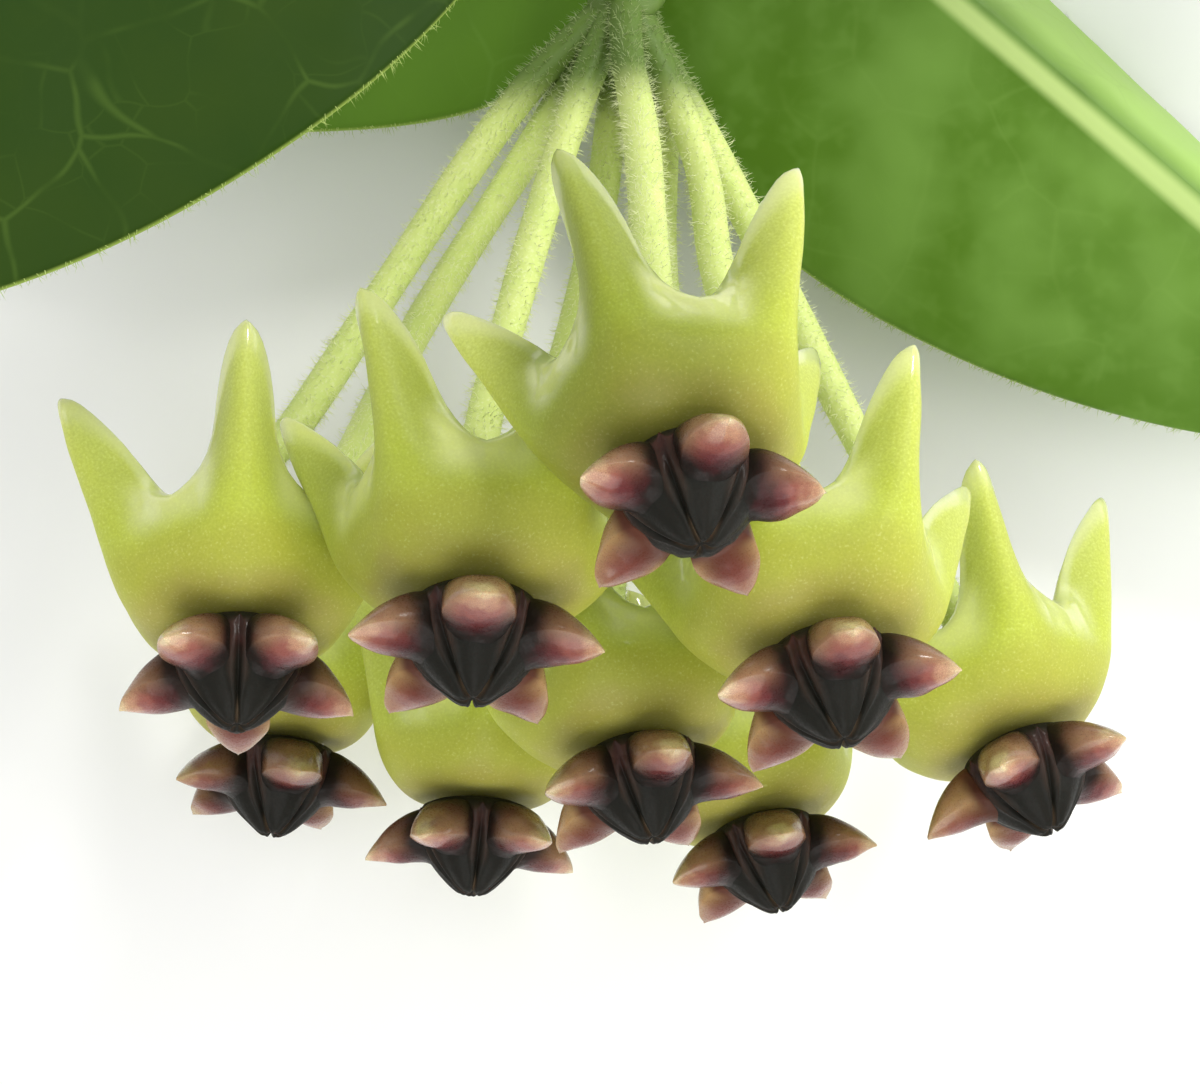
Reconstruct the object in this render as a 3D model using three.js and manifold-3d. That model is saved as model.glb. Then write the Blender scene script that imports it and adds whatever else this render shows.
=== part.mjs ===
// A cut sprig of a wax plant, lying on a flat surface: a stem with two pairs of leaves, and a
// flower head of nine thick reflexed flowers on hairy stalks. Millimetres, +Z up. The sprig rests
// on z = 0, and the origin is under the middle of its bounding box.

import * as THREE from 'three';
import { mergeVertices } from 'three/addons/utils/BufferGeometryUtils.js';
import Module from 'manifold-3d';

const wasm = await Module();
wasm.setup();

// Driving dimensions of the whole sprig.
const LOBES = 5;
const HALF_LOBE = Math.PI / LOBES;
const JOINT_GAP = 0.3;
// Where the middle of the sprig's bounding box lies in the numbers below.
const MIDDLE = new THREE.Vector3(1.35, 22.11, 0);

// The crown, in a flower's own frame: +Z is the way the flower faces, and its lobe tips lie at z = 0.
const CROWN_TIP_RADIUS = 4.5;
const CROWN_NOTCH_RADIUS = 2.35;
const CROWN_APEX = 1.54;
const CROWN_BASE = -2.15;
const CONE_RADIUS = 2.1;
const CLAW_HALF_WIDTH = 1.25;
const CLAW_SHOULDER = 2.6;
const CLAW_DIP = 0.45;
const CLAW_DEPTH = 2;
const CONE_FALL = 1.9;
const CLAW_EDGE = -1.7;

// The corolla, in the same frame. Depths are counted backwards from z = 0.
const FACE_DEPTH = 2.45;
const FACE_RADIUS = 2.5;
const SHOULDER = 1.8;
const SHOULDER_DEPTH = 2.6;
const FACE_THICKNESS = 1.2;
const WALL = 1.15;
const SINUS_DEPTH = 6.3;
const HORN_DEPTH = 11.5;
const HORN_BULK = 2.4;
const NOTCH_RADIUS = 4.5;
const MARGIN_FLARE = 0.3;
// Half of one lobe's margin, from the horn's tip to the sinus: distance across, then depth.
const MARGIN = new THREE.SplineCurve([
  new THREE.Vector2(0, HORN_DEPTH),
  new THREE.Vector2(0.55, 11.0),
  new THREE.Vector2(0.85, 10.0),
  new THREE.Vector2(1.18, 8.6),
  new THREE.Vector2(1.68, 7.35),
  new THREE.Vector2(2.25, 6.6),
  new THREE.Vector2(2.83, SINUS_DEPTH),
]);
const MARGIN_POINTS = MARGIN.getPoints(36);

// The stalks, which run from the head's root to the back of each flower through these points.
const STALK_RADIUS = 0.68;
const CALYX_RADIUS = 1.4;
const CALYX_THICKNESS = 0.8;
const CALYX_DEPTH = FACE_DEPTH + FACE_THICKNESS + 2 * JOINT_GAP;
const STALK_STRAIGHT = 4.5;
const STALK_SINK = 0.3;
const PEDUNCLE_RADIUS = 1.15;
const HEAD_ROOT = [1.0, 22, 15];
const HEAD_ROOT_RADIUS = 1.5;
const STALK_POINTS = [
  [[-3.1, 17.9, 15.5], [-11.7, 4.7, 19]],
  [[-0.75, 17.7, 17], [-3.4, 8.5, 21.5]],
  [[1.05, 19.3, 18], [1.6, 14.6, 24]],
  [[3.9, 15.1, 17], [4.6, 10.3, 19.3]],
  [[5.4, 14.0, 15], [10.2, 4.5, 14.6]],
  [[-2.1, 16.9, 14.5], [-8.0, 7.9, 12]],
  [[-0.3, 12, 12.5], [-2.8, 3.2, 10.8]],
  [[1.8, 12, 16], [1.3, 4.5, 17]],
  [[2.35, 18.4, 14], [2.6, 10.5, 12]],
];

// The stem: its middle line, the two joints that the leaf pairs grow from, and its size.
const STEM_RADIUS = 1.6;
const JOINT_RADIUS = 2.2;
const STEM_POINTS = [
  [2.0, 60, 1.5],
  [1.7, 51, 1.5],
  [1.0, 44.5, 5],
  [1.5, 39, 14],
  [2.1, 40.5, 21],
  [2.6, 43, 27],
  [3.4, 47, 33],
];
const LOWER_JOINT = STEM_POINTS[3];
const UPPER_JOINT = STEM_POINTS[5];
const PEDUNCLE_POINTS = [[1.4, 36.5, 14.3], [1.3, 30, 15.2], HEAD_ROOT];

// The leaves. The midrib runs from base over bend to tip. Left and right are the angles, in degrees,
// at which a half falls away from the midrib and at its own margin. The stalk runs from the joint.
const PETIOLE_RADIUS = 1.0;
const LEAF_THICKNESS = 1.3;
const MARGIN_THICKNESS = 0.7;
const KEEL = 0.7;
const LEAVES = {
  leaf_left_front: {
    base: [-1.6, 33.4, 26], bend: [-22.8, 19.9, 34.5], tip: [-44.0, 6.4, 37],
    halfWidth: 11.6, fullness: 0.55, left: [5, 16], right: [5, 16],
    petiole: [[-0.5, 41.9, 26.8], [-1.8, 38, 26.2]],
  },
  leaf_left_back: {
    base: [0, 31.2, 11], bend: [-22, 28.3, 11], tip: [-44.6, 25.2, 3],
    halfWidth: 12.6, fullness: 0.24, left: [6, 18], right: [6, 18],
    petiole: [[-1.4, 37.7, 13.0], [-1.2, 34.5, 11.4]],
  },
  leaf_right: {
    base: [3.6, 31.4, 11.2], bend: [19.7, 17.9, 11.6], tip: [35.8, 4.4, 8.8],
    halfWidth: 12.6, fullness: 0.45, left: [56, 76], right: [12, 26],
    petiole: [[4.4, 37.7, 13.3], [4.6, 34.5, 12.0]],
  },
  leaf_right_upper: {
    base: [8.5, 44.5, 28], bend: [28, 48, 32], tip: [47.3, 54, 30],
    halfWidth: 12, fullness: 0.45, left: [5, 20], right: [5, 20],
    petiole: [[5.3, 43.3, 27.3], [7, 43.9, 27.8]],
  },
};

// The nine flowers: place of the crown's centre, then degrees of tilt from facing up, of turn about
// the vertical, and of spin about the flower's own axis, its size, how far its horns spread out and
// reach back, and how wide its neighbours leave it.
const FLOWERS = [
  {
    at: [-13.25, -5.45, 25.8], tilt: 56, turn: 3, spin: 44,
    size: 1.01, spread: 1.0, reach: 0.98, girth: 1.0,
  },
  {
    at: [-4.4, -4.2, 31.0], tilt: 57, turn: 0, spin: 6,
    size: 1.03, spread: 1.0, reach: 0.95, girth: 1.0,
  },
  {
    at: [3.1, 0.9, 37.85], tilt: 46, turn: 10, spin: 19,
    size: 0.97, spread: 1.0, reach: 1.08, girth: 1.0,
  },
  {
    at: [8.4, -5.8, 29.3], tilt: 52, turn: 9, spin: 7,
    size: 1.02, spread: 1.0, reach: 0.97, girth: 1.0,
  },
  {
    at: [17.05, -9.95, 18.3], tilt: 61, turn: 21, spin: -16,
    size: 1.01, spread: 1.0, reach: 0.99, girth: 0.98,
  },
  {
    at: [-13.65, -10.8, 9.1], tilt: 70, turn: -3, spin: 17,
    size: 1.04, spread: 0.78, reach: 1.0, girth: 0.88,
  },
  {
    at: [-5.15, -12.9, 12.9], tilt: 71, turn: -2, spin: -28,
    size: 1.0, spread: 0.78, reach: 1.0, girth: 0.92,
  },
  {
    at: [1.75, -9.85, 22.65], tilt: 60, turn: 11, spin: 19,
    size: 0.99, spread: 1.0, reach: 1.0, girth: 0.98,
  },
  {
    at: [7.05, -13.65, 12.65], tilt: 62, turn: 14, spin: 10,
    size: 0.99, spread: 1.0, reach: 1.0, girth: 0.95,
  },
];

const MATERIALS = {
  corolla: new THREE.MeshStandardMaterial({ color: 0xb4c04c, roughness: 0.35 }),
  crown: new THREE.MeshStandardMaterial({ color: 0x5a2a2c, roughness: 0.3 }),
  stalk: new THREE.MeshStandardMaterial({ color: 0xa5c85a, roughness: 0.6 }),
  leaf: new THREE.MeshStandardMaterial({ color: 0x5c8a30, roughness: 0.5 }),
  stem: new THREE.MeshStandardMaterial({ color: 0x6f8a45, roughness: 0.6 }),
};

const { lerp, smoothstep, clamp, degToRad } = THREE.MathUtils;

// A repeatable number from -1 to 1, which makes no two lobes quite alike.
function variation(flower, lobe) {
  return Math.sin(12.9898 * (flower + 1) + 78.233 * (lobe + 1));
}

// A closed surface through rings of points. Each ring has the same number of points, in order round
// the surface, and the first and last ring are single points. From the column mirroredFrom on, the
// faces are split the other way, so that the two sides of a blade are split alike.
function loft(rings, mirroredFrom = Infinity) {
  const columns = rings[1].length;
  const positions = rings.flat().flatMap((point) => [point.x, point.y, point.z]);
  const lastRow = rings.length - 1;
  const start = (row) => (row === 0 ? 0 : 1 + (row - 1) * columns);
  const index = [];
  for (let j = 0; j < columns; j += 1) {
    const next = (j + 1) % columns;
    index.push(0, 1 + next, 1 + j);
    for (let row = 1; row < lastRow - 1; row += 1) {
      const a = start(row) + j;
      const b = start(row) + next;
      const c = start(row + 1) + next;
      const d = start(row + 1) + j;
      index.push(...(j < mirroredFrom ? [a, b, d, b, c, d] : [a, b, c, a, c, d]));
    }
    index.push(start(lastRow), start(lastRow - 1) + j, start(lastRow - 1) + next);
  }
  const geometry = new THREE.BufferGeometry();
  geometry.setAttribute('position', new THREE.Float32BufferAttribute(positions, 3));
  geometry.setIndex(index);
  return geometry;
}

function toSolid(geometry) {
  const bare = geometry.clone();
  bare.deleteAttribute('normal');
  bare.deleteAttribute('uv');
  const merged = mergeVertices(bare, 1e-4);
  return new wasm.Manifold(new wasm.Mesh({
    numProp: 3,
    vertProperties: new Float32Array(merged.attributes.position.array),
    triVerts: new Uint32Array(merged.index.array),
  }));
}

function toGeometry(solid) {
  const mesh = solid.getMesh();
  const geometry = new THREE.BufferGeometry();
  geometry.setAttribute('position', new THREE.Float32BufferAttribute(mesh.vertProperties, 3));
  geometry.setIndex([...mesh.triVerts]);
  geometry.computeVertexNormals();
  return geometry;
}

function joined(geometries) {
  return geometries.map(toSolid).reduce((whole, piece) => whole.add(piece));
}

// A straight slab under z = 0, which trims a resting spot flat.
function trimmed(solid) {
  const slab = new THREE.BoxGeometry(400, 400, 40);
  slab.translate(0, 0, -20);
  return solid.subtract(toSolid(slab));
}

function vectors(points) {
  return points.map((point) => new THREE.Vector3(...point));
}

function tube(points, radius, sides, steps) {
  const section = new THREE.Shape();
  section.absarc(0, 0, radius, 0, 2 * Math.PI);
  const extrudePath = new THREE.CatmullRomCurve3(points, false, 'centripetal');
  return new THREE.ExtrudeGeometry(section, { extrudePath, steps, curveSegments: sides / 2 });
}

function ball(center, radius) {
  const geometry = new THREE.SphereGeometry(radius, 10, 7);
  geometry.translate(...center);
  return geometry;
}

// The flower's own frame: +Y points to the top lobe of its crown before it spins.
function flowerMatrix(flower) {
  const turn = new THREE.Matrix4().makeRotationZ(degToRad(flower.turn));
  const tilt = new THREE.Matrix4().makeRotationX(degToRad(flower.tilt));
  const spin = new THREE.Matrix4().makeRotationZ(-degToRad(flower.spin));
  const place = new THREE.Matrix4().makeTranslation(...flower.at);
  const size = new THREE.Matrix4().makeScale(flower.size, flower.size, flower.size);
  return place.multiply(turn).multiply(tilt).multiply(spin).multiply(size);
}

// Radius of the ridge that runs out along the middle of each horn, and of the hollow between horns.
function shoulderRadius(back) {
  return FACE_RADIUS + SHOULDER * Math.sqrt(1 - (1 - clamp(back / SHOULDER_DEPTH, 0, 1)) ** 2);
}

function ridgeRadius(depth, spread) {
  const back = depth - FACE_DEPTH;
  return shoulderRadius(back) + spread * (0.4 * back - 0.002 * back * back);
}

function hollowRadius(depth) {
  const back = Math.min(depth, SINUS_DEPTH) - FACE_DEPTH;
  return shoulderRadius(back) + 0.12 * back - 0.015 * back * back;
}

// The radius at which distances across a lobe are measured.
function marginRadius(depth) {
  return NOTCH_RADIUS + MARGIN_FLARE * (depth - SINUS_DEPTH);
}

function distanceToMargin(across, depth) {
  const point = new THREE.Vector2(across, depth);
  return Math.min(...MARGIN_POINTS.map((other) => other.distanceTo(point)));
}

// How full the lobe is at a place: 1 inside, falling to 0 in a round curve at the margin.
function fullness(across, depth) {
  const edge = 0.6 + 0.35 * smoothstep(depth, SINUS_DEPTH, 8) - 0.25 * smoothstep(depth, 9.5, HORN_DEPTH);
  const closeness = clamp(1 - distanceToMargin(across, depth) / edge, 0, 1);
  return Math.sqrt(1 - closeness ** 2.2);
}

// Outer and inner radius of the corolla at an angle from the horn's middle and a depth.
function corollaRadii(angle, depth, spread) {
  const ridge = ridgeRadius(depth, spread);
  const hollow = hollowRadius(depth);
  const sharpness = 1 + 3 * smoothstep(depth, 3, 8);
  const bump = (0.5 + 0.5 * Math.cos(LOBES * angle)) ** sharpness;
  const outer = lerp(hollow, ridge, bump);
  const bulk = HORN_BULK - 1.7 * smoothstep(depth, 7.5, HORN_DEPTH);
  const inner = lerp(outer - WALL, ridge - bulk, smoothstep(depth, 5, 7.5));
  const middle = (outer + inner) / 2;
  const full = fullness(angle * marginRadius(depth), depth);
  return [middle + (outer - middle) * full, middle - (middle - inner) * full];
}

const COROLLA_COLUMNS = [0, 0.2, 0.45, 0.72, 1];
const OUTER_ROWS = [0, 0.04, 0.15, 0.38, 0.64, 0.88];
const INNER_ROWS = [0.88, 0.5, 0.06];

function corolla(number) {
  const flower = FLOWERS[number];
  const halfColumns = COROLLA_COLUMNS.length - 1;
  const columns = [];
  for (let lobe = 0; lobe < LOBES; lobe += 1) {
    for (let step = -halfColumns; step < halfColumns; step += 1) {
      columns.push({ lobe, step });
    }
  }
  const place = ({ lobe, step }, fraction, side) => {
    const across = Math.abs(step);
    const margin = MARGIN.getPoint(COROLLA_COLUMNS[across]);
    const spread = flower.spread * (1 + 0.05 * variation(number, lobe));
    const startDepth = side === 0 ? FACE_DEPTH + 0.02 : FACE_DEPTH + FACE_THICKNESS + 0.3;
    const depth = lerp(startDepth, margin.y, fraction);
    const marginAngle = margin.x / marginRadius(margin.y);
    const spreadAngle = (HALF_LOBE * across) / halfColumns;
    const angle = lerp(spreadAngle, marginAngle, smoothstep(fraction, 0.1, 1));
    const radius = flower.girth * (fraction === 1
      ? corollaRadii(angle, margin.y, spread).reduce((a, b) => (a + b) / 2)
      : corollaRadii(angle, depth, spread)[side]);
    const around = HALF_LOBE * (2 * lobe + 1) + Math.sign(step) * angle;
    const back = Math.min(depth, SINUS_DEPTH) + flower.reach * Math.max(depth - SINUS_DEPTH, 0);
    return new THREE.Vector3(radius * Math.sin(around), radius * Math.cos(around), -back);
  };
  const rings = [
    [new THREE.Vector3(0, 0, -FACE_DEPTH)],
    ...OUTER_ROWS.map((fraction) => columns.map((column) => place(column, fraction, 0))),
    columns.map((column) => place(column, 1, 0)),
    ...INNER_ROWS.map((fraction) => columns.map((column) => place(column, fraction, 1))),
    [new THREE.Vector3(0, 0, -FACE_DEPTH - FACE_THICKNESS)],
  ];
  return loft(rings);
}

const CROWN_COLUMNS = 3;
const CROWN_TOP_RINGS = [0.3, 0.6, 0.88];
const CROWN_UNDER_RINGS = [0.85, 0.55];

// How far out along a claw a place is: 0 at its shoulder, 1 at its tip.
function clawReach(along) {
  return clamp((along - CLAW_SHOULDER) / (CROWN_TIP_RADIUS - CLAW_SHOULDER), 0, 1);
}

function clawHalfWidth(along) {
  return CLAW_HALF_WIDTH * (1 - clawReach(along) ** 1.8) ** 0.75;
}

// Height of the crown's front: the blunt cone in its middle, and the five plump claws round it.
function crownFront(along, across) {
  const radius = Math.hypot(along, across);
  const cone = CROWN_APEX - CONE_FALL * (radius / CONE_RADIUS) ** 1.35;
  const reach = clawReach(along);
  const ridge = CLAW_DIP * (reach - 1);
  const aside = Math.abs(across) / (clawHalfWidth(along) + 0.02);
  const drop = CLAW_DEPTH * Math.sqrt(1 - reach ** 2) * aside ** 2.8;
  return Math.max(cone, ridge - drop);
}

// The crown: a blunt cone with five deep pointed claws round it, which lean out and forwards.
function crown() {
  const columns = [];
  for (let lobe = 0; lobe < LOBES; lobe += 1) {
    for (let step = -CROWN_COLUMNS; step < CROWN_COLUMNS; step += 1) {
      columns.push({ lobe, aside: step / CROWN_COLUMNS });
    }
  }
  const place = ({ lobe, aside }, fraction, front) => {
    const outline = CROWN_NOTCH_RADIUS
      + (CROWN_TIP_RADIUS - CROWN_NOTCH_RADIUS) * (1 - Math.abs(aside)) ** 0.7;
    const radius = fraction * outline;
    const along = radius * Math.cos(HALF_LOBE * aside);
    const across = radius * Math.sin(HALF_LOBE * aside);
    const edge = CLAW_EDGE * Math.abs(aside) ** 0.7;
    const height = front
      ? lerp(edge, Math.max(crownFront(along, across), edge), 1 - fraction ** 6)
      : lerp(CROWN_BASE, edge, fraction ** 3);
    const around = HALF_LOBE * (2 * lobe + aside);
    return new THREE.Vector3(radius * Math.sin(around), radius * Math.cos(around), height);
  };
  const rings = [
    [new THREE.Vector3(0, 0, CROWN_APEX)],
    ...CROWN_TOP_RINGS.map((fraction) => columns.map((column) => place(column, fraction, true))),
    columns.map((column) => place(column, 1, true)),
    ...CROWN_UNDER_RINGS.map((fraction) => columns.map((column) => place(column, fraction, false))),
    [new THREE.Vector3(0, 0, CROWN_BASE)],
  ];
  return loft(rings);
}

// Half of a leaf in section: how far out and how far down a place is, for a blade one unit wide whose
// slope goes evenly from one angle to another.
function bladeSection(fraction, [first, last]) {
  const start = degToRad(first);
  const turn = degToRad(last - first);
  const slope = start + turn * fraction;
  return {
    out: (Math.sin(slope) - Math.sin(start)) / turn,
    down: (Math.cos(start) - Math.cos(slope)) / turn,
    slope,
  };
}

const LEAF_STATIONS = [0.03, 0.09, 0.18, 0.29, 0.41, 0.53, 0.65, 0.76, 0.86, 0.94, 0.985];
const LEAF_COLUMNS = [-1, -0.72, -0.38, 0, 0.38, 0.72, 1];

function leaf(shape) {
  const midrib = new THREE.QuadraticBezierCurve3(...vectors([shape.base, shape.bend, shape.tip]));
  const widest = shape.fullness / (shape.fullness + 0.8);
  const profile = (along) => along ** shape.fullness * (1 - along) ** 0.8;
  const place = (along, across, side) => {
    const tangent = midrib.getTangent(along);
    const left = new THREE.Vector3(0, 0, 1).cross(tangent).normalize();
    const up = tangent.clone().cross(left);
    const width = (shape.halfWidth * profile(along)) / profile(widest);
    const section = bladeSection(Math.abs(across), across > 0 ? shape.left : shape.right);
    const sign = Math.sign(across);
    const wave = 0.35 * across * across * Math.sin(17 * along + 2 * sign);
    const keel = side < 0 && across === 0 ? KEEL * (1 - 0.8 * along) : 0;
    const half = lerp(LEAF_THICKNESS, MARGIN_THICKNESS, across * across) / 2 + keel;
    return midrib.getPoint(along)
      .addScaledVector(left, sign * (width * section.out + side * half * Math.sin(section.slope)))
      .addScaledVector(up, wave - width * section.down + side * half * Math.cos(section.slope));
  };
  const rings = LEAF_STATIONS.map((along) => [
    ...LEAF_COLUMNS.map((across) => place(along, -across, 1)),
    ...LEAF_COLUMNS.map((across) => place(along, across, -1)),
  ]);
  const blade = loft([[midrib.getPoint(0)], ...rings, [midrib.getPoint(1)]], LEAF_COLUMNS.length);
  const petioleLine = [...vectors(shape.petiole), midrib.getPoint(0), midrib.getPoint(0.06)];
  const petiole = tube(petioleLine, PETIOLE_RADIUS, 8, 8);
  return toGeometry(trimmed(joined([blade, petiole])));
}

// The flower's stalk ends in a small flat calyx against the back of the corolla.
function flowerStalk(flower, points) {
  const matrix = flowerMatrix(flower);
  const behind = (depth) => new THREE.Vector3(0, 0, -depth).applyMatrix4(matrix);
  const ends = [behind(CALYX_DEPTH + STALK_STRAIGHT), behind(CALYX_DEPTH + STALK_SINK)];
  const calyx = new THREE.CylinderGeometry(CALYX_RADIUS, 0.8 * STALK_RADIUS, CALYX_THICKNESS, 8);
  calyx.rotateX(Math.PI / 2);
  calyx.translate(0, 0, -CALYX_DEPTH - CALYX_THICKNESS / 2);
  calyx.applyMatrix4(matrix);
  return [tube([...vectors([HEAD_ROOT, ...points]), ...ends], STALK_RADIUS, 7, 12), calyx];
}

function flowerStalks() {
  const stalks = FLOWERS.flatMap((flower, number) => flowerStalk(flower, STALK_POINTS[number]));
  const peduncle = tube(vectors(PEDUNCLE_POINTS), PEDUNCLE_RADIUS, 8, 6);
  return toGeometry(joined([peduncle, ball(HEAD_ROOT, HEAD_ROOT_RADIUS), ...stalks]));
}

function stem() {
  const line = tube(vectors(STEM_POINTS), STEM_RADIUS, 10, 18);
  const swellings = [LOWER_JOINT, UPPER_JOINT].map((joint) => ball(joint, JOINT_RADIUS));
  return toGeometry(trimmed(joined([line, ...swellings])));
}

const plant = new THREE.Group();

function addNode(name, geometry, material) {
  const mesh = new THREE.Mesh(geometry, material);
  mesh.name = name;
  plant.add(mesh);
  return mesh;
}

FLOWERS.forEach((flower, number) => {
  const matrix = flowerMatrix(flower);
  const cup = corolla(number).applyMatrix4(matrix);
  addNode(`corolla_${number + 1}`, toGeometry(trimmed(toSolid(cup))), MATERIALS.corolla);
  addNode(`crown_${number + 1}`, crown().applyMatrix4(matrix), MATERIALS.crown);
});

addNode('flower_stalks', flowerStalks(), MATERIALS.stalk);
Object.entries(LEAVES).forEach(([name, shape]) => addNode(name, leaf(shape), MATERIALS.leaf));
addNode('stem', stem(), MATERIALS.stem);

plant.position.copy(MIDDLE).negate();

export default plant;
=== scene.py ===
# A cut sprig of a wax plant, lying on a pale floor: the fine surfaces and finishes that dress its solids.
# Lengths are in millimetres, in the frame that the sprig was measured in, until a mesh is made.

import math
from collections import namedtuple

import bpy
import numpy as np
from mathutils import Matrix, Vector


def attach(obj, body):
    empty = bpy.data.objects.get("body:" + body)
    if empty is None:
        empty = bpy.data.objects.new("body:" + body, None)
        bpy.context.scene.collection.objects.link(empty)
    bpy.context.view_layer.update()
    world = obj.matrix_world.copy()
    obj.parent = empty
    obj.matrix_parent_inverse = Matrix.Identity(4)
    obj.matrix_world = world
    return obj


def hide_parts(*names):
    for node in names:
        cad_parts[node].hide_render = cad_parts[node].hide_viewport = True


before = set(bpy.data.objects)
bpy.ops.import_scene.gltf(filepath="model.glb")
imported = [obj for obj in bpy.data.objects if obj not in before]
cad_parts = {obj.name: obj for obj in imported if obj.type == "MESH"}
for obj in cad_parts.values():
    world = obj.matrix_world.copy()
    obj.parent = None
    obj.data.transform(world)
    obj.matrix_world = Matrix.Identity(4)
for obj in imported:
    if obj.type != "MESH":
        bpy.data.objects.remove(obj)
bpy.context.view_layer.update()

# Units, and where the middle of the sprig lies in the numbers below.
MM = 0.001
MIDDLE = np.array([1.35, 22.11, 0.0])

# The camera looks straight down on the sprig.
CAMERA_HEIGHT = 137.0
LENS = 91.2
SENSOR = 36.0
NEAREST_SEEN = 5.0

# The lights: place, size across, strength and colour. All of them shine towards one point.
LIT_POINT = (0, -20, 20)
WHITE = (1.0, 1.0, 1.0)
LIGHTS = {
    "key": ((150, 230, 260), 90, 0.55, (1.0, 0.99, 0.96)),
    "front": ((0, -30, 420), 300, 0.38, WHITE),
    "low": ((0, -260, 240), 300, 0.56, WHITE),
    "right": ((330, 20, 200), 300, 0.6, WHITE),
    "left": ((-330, 20, 200), 300, 0.24, WHITE),
}
ROOM_LIGHT = 0.4
FLOOR_HALF = 3000.0

# The crown, in a flower's own frame: +Z is the way it faces, and its lobe tips lie near z = 0.
LOBES = 5
HALF_LOBE = math.pi / LOBES
CROWN_TIP_RADIUS = 4.5
CROWN_BASE = -2.15
# A claw's half width and the height of its front, over the distance from the flower's axis.
CLAW_ROOT = 1.0
CLAW_WIDTH = [(1.0, 0.3), (1.3, 0.58), (1.6, 0.8), (2.0, 1.02), (2.5, 1.18), (3.0, 1.16), (3.5, 0.98),
              (4.0, 0.66), (4.3, 0.36), (4.5, 0.0)]
CLAW_FRONT = [(1.0, 0.75), (1.3, 0.58), (1.6, 0.36), (2.0, 0.17), (2.5, 0.14), (3.2, 0.18), (3.9, 0.13),
              (4.5, 0.05)]
CLAW_EDGE_DROP = 0.42
CLAW_KEEL_POWER = 3.4
CLAW_CREST = 0.05
CLAW_BUMPS = 0.03
# How much the claws of one crown differ in width, lean, turn and lift.
CLAW_WIDTHS = (0.96, 1.04)
CLAW_LEAN = 0.04
CLAW_TURN = 0.03
CLAW_LIFT = 0.06
# Painted shade: how much darker each crown's upper claws are painted than the first flower's, as they sit
# in their neighbours' shade.
CROWN_SHADE = [0.0, 0.25, 0.2, 0.1, 0.0, 0.8, 0.1, 0.5, 0.6]
# The cone's height over the distance from the axis, the distances of its rings, the radius and height of
# its foot's rings, how deep its slits are and how high its faces swell.
CONE_PROFILE = [(0, 1.36), (0.2, 1.45), (0.5, 1.43), (0.85, 1.2), (1.2, 0.87), (1.6, 0.42), (1.95, -0.08),
                (2.15, -0.5), (2.27, -1.0), (2.34, -1.5)]
CONE_RADII = [*np.linspace(0.06, 2.1, 26), 2.16, 2.22, 2.28, 2.33, 2.36]
CONE_FOOT = [(2.34, -1.8), (2.2, -2.02), (1.9, CROWN_BASE)]
SLIT_DEPTH = 0.2
FACET = 0.07

# The corolla, in the same frame. Depths are counted backwards from z = 0.
FACE_DEPTH = 2.45
FACE_RADIUS = 2.5
SHOULDER = 1.8
SHOULDER_DEPTH = 2.6
FACE_THICKNESS = 1.2
WALL = 1.15
SINUS_DEPTH = 6.3
NOTCH_RADIUS = 4.5
MARGIN_FLARE = 0.3
HORN_DEPTH = 11.5
HORN_BULK = 2.4
HORN_TAPER = 1.7
HORN_HOOK = 0.04
# How the ridges and the hollows between them spread behind the face, and how that eases off.
RIDGE_RISE, RIDGE_EASE = 0.4, 0.002
HOLLOW_RISE, HOLLOW_EASE = 0.12, 0.015
# The depths over which the ridges get sharp and the horns thick.
RIDGES_SHARPEN = (3, 8)
HORNS_THICKEN = (5, 7.5)
# The width of the margin's roll, what it gains along the horns and loses at their tips, and its roundness.
ROLL, ROLL_GAIN, ROLL_LOSS = 0.6, 0.35, 0.25
ROLL_ROUNDNESS = 2.2
# Half of one lobe's margin, from the horn's tip to the sinus: distance across, then depth.
MARGIN = [(0, 11.3), (0.45, 10.9), (0.8, 10.1), (1.06, 9.2), (1.27, 8.3), (1.68, 7.35), (2.25, 6.6),
          (2.83, SINUS_DEPTH)]
# The soft swells of its skin: size, share of the height and seed, and those at the notches.
SWELL_HEIGHT = 0.055
SWELLS = [(6.0, 1.0, 100), (1.9, 0.35, 200)]
NOTCH_SWELLS = (1.0, 0.7, 300)
# Painted shade: how far each flower's colour goes towards a shaded olive on its left side, and the
# distances to the right of its middle between which that painted shade comes and goes.
SIDE_SHADE = [0.25, 0.6, 1.0, 0.25, 0.15, 0.1, 0.3, 0.45, 0.2]
SIDE_SHADE_COMES = (-8.0, -4.8)
SIDE_SHADE_GOES = (-0.5, 4.5)

# The stalks, which run from the head's root to the back of each flower through these points.
STALK_RADIUS = 0.68
CALYX_DEPTH = 4.25
CALYX_THICKNESS = 0.8
CALYX_PROFILE = [(0.9, 0.0), (1.3, 0.03), (1.4, 0.1), (1.37, 0.2), (1.25, 0.36), (1.05, 0.55), (0.8, 0.7),
                 (0.55, 0.78)]
CALYX_NOTCH = 0.22
STALK_STRAIGHT = 4.5
STALK_ENDS_INSIDE = 0.3
PEDUNCLE_RADIUS = 1.15
HEAD_ROOT = (1.0, 22, 15)
HEAD_ROOT_RADIUS = 1.5
STALK_POINTS = [
    [(-3.1, 17.9, 15.5), (-11.7, 4.7, 19)],
    [(-0.75, 17.7, 17), (-3.4, 8.5, 21.5)],
    [(1.05, 19.3, 18), (1.6, 14.6, 24)],
    [(3.9, 15.1, 17), (4.6, 10.3, 19.3)],
    [(5.4, 14.0, 15), (10.2, 4.5, 14.6)],
    [(-2.1, 16.9, 14.5), (-8.0, 7.9, 12)],
    [(-0.3, 12, 12.5), (-2.8, 3.2, 10.8)],
    [(1.8, 12, 16), (1.3, 4.5, 17)],
    [(2.35, 18.4, 14), (2.6, 10.5, 12)],
]
PEDUNCLE_POINTS = [(1.4, 36.5, 14.3), (1.3, 30, 15.2), HEAD_ROOT]
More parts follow.
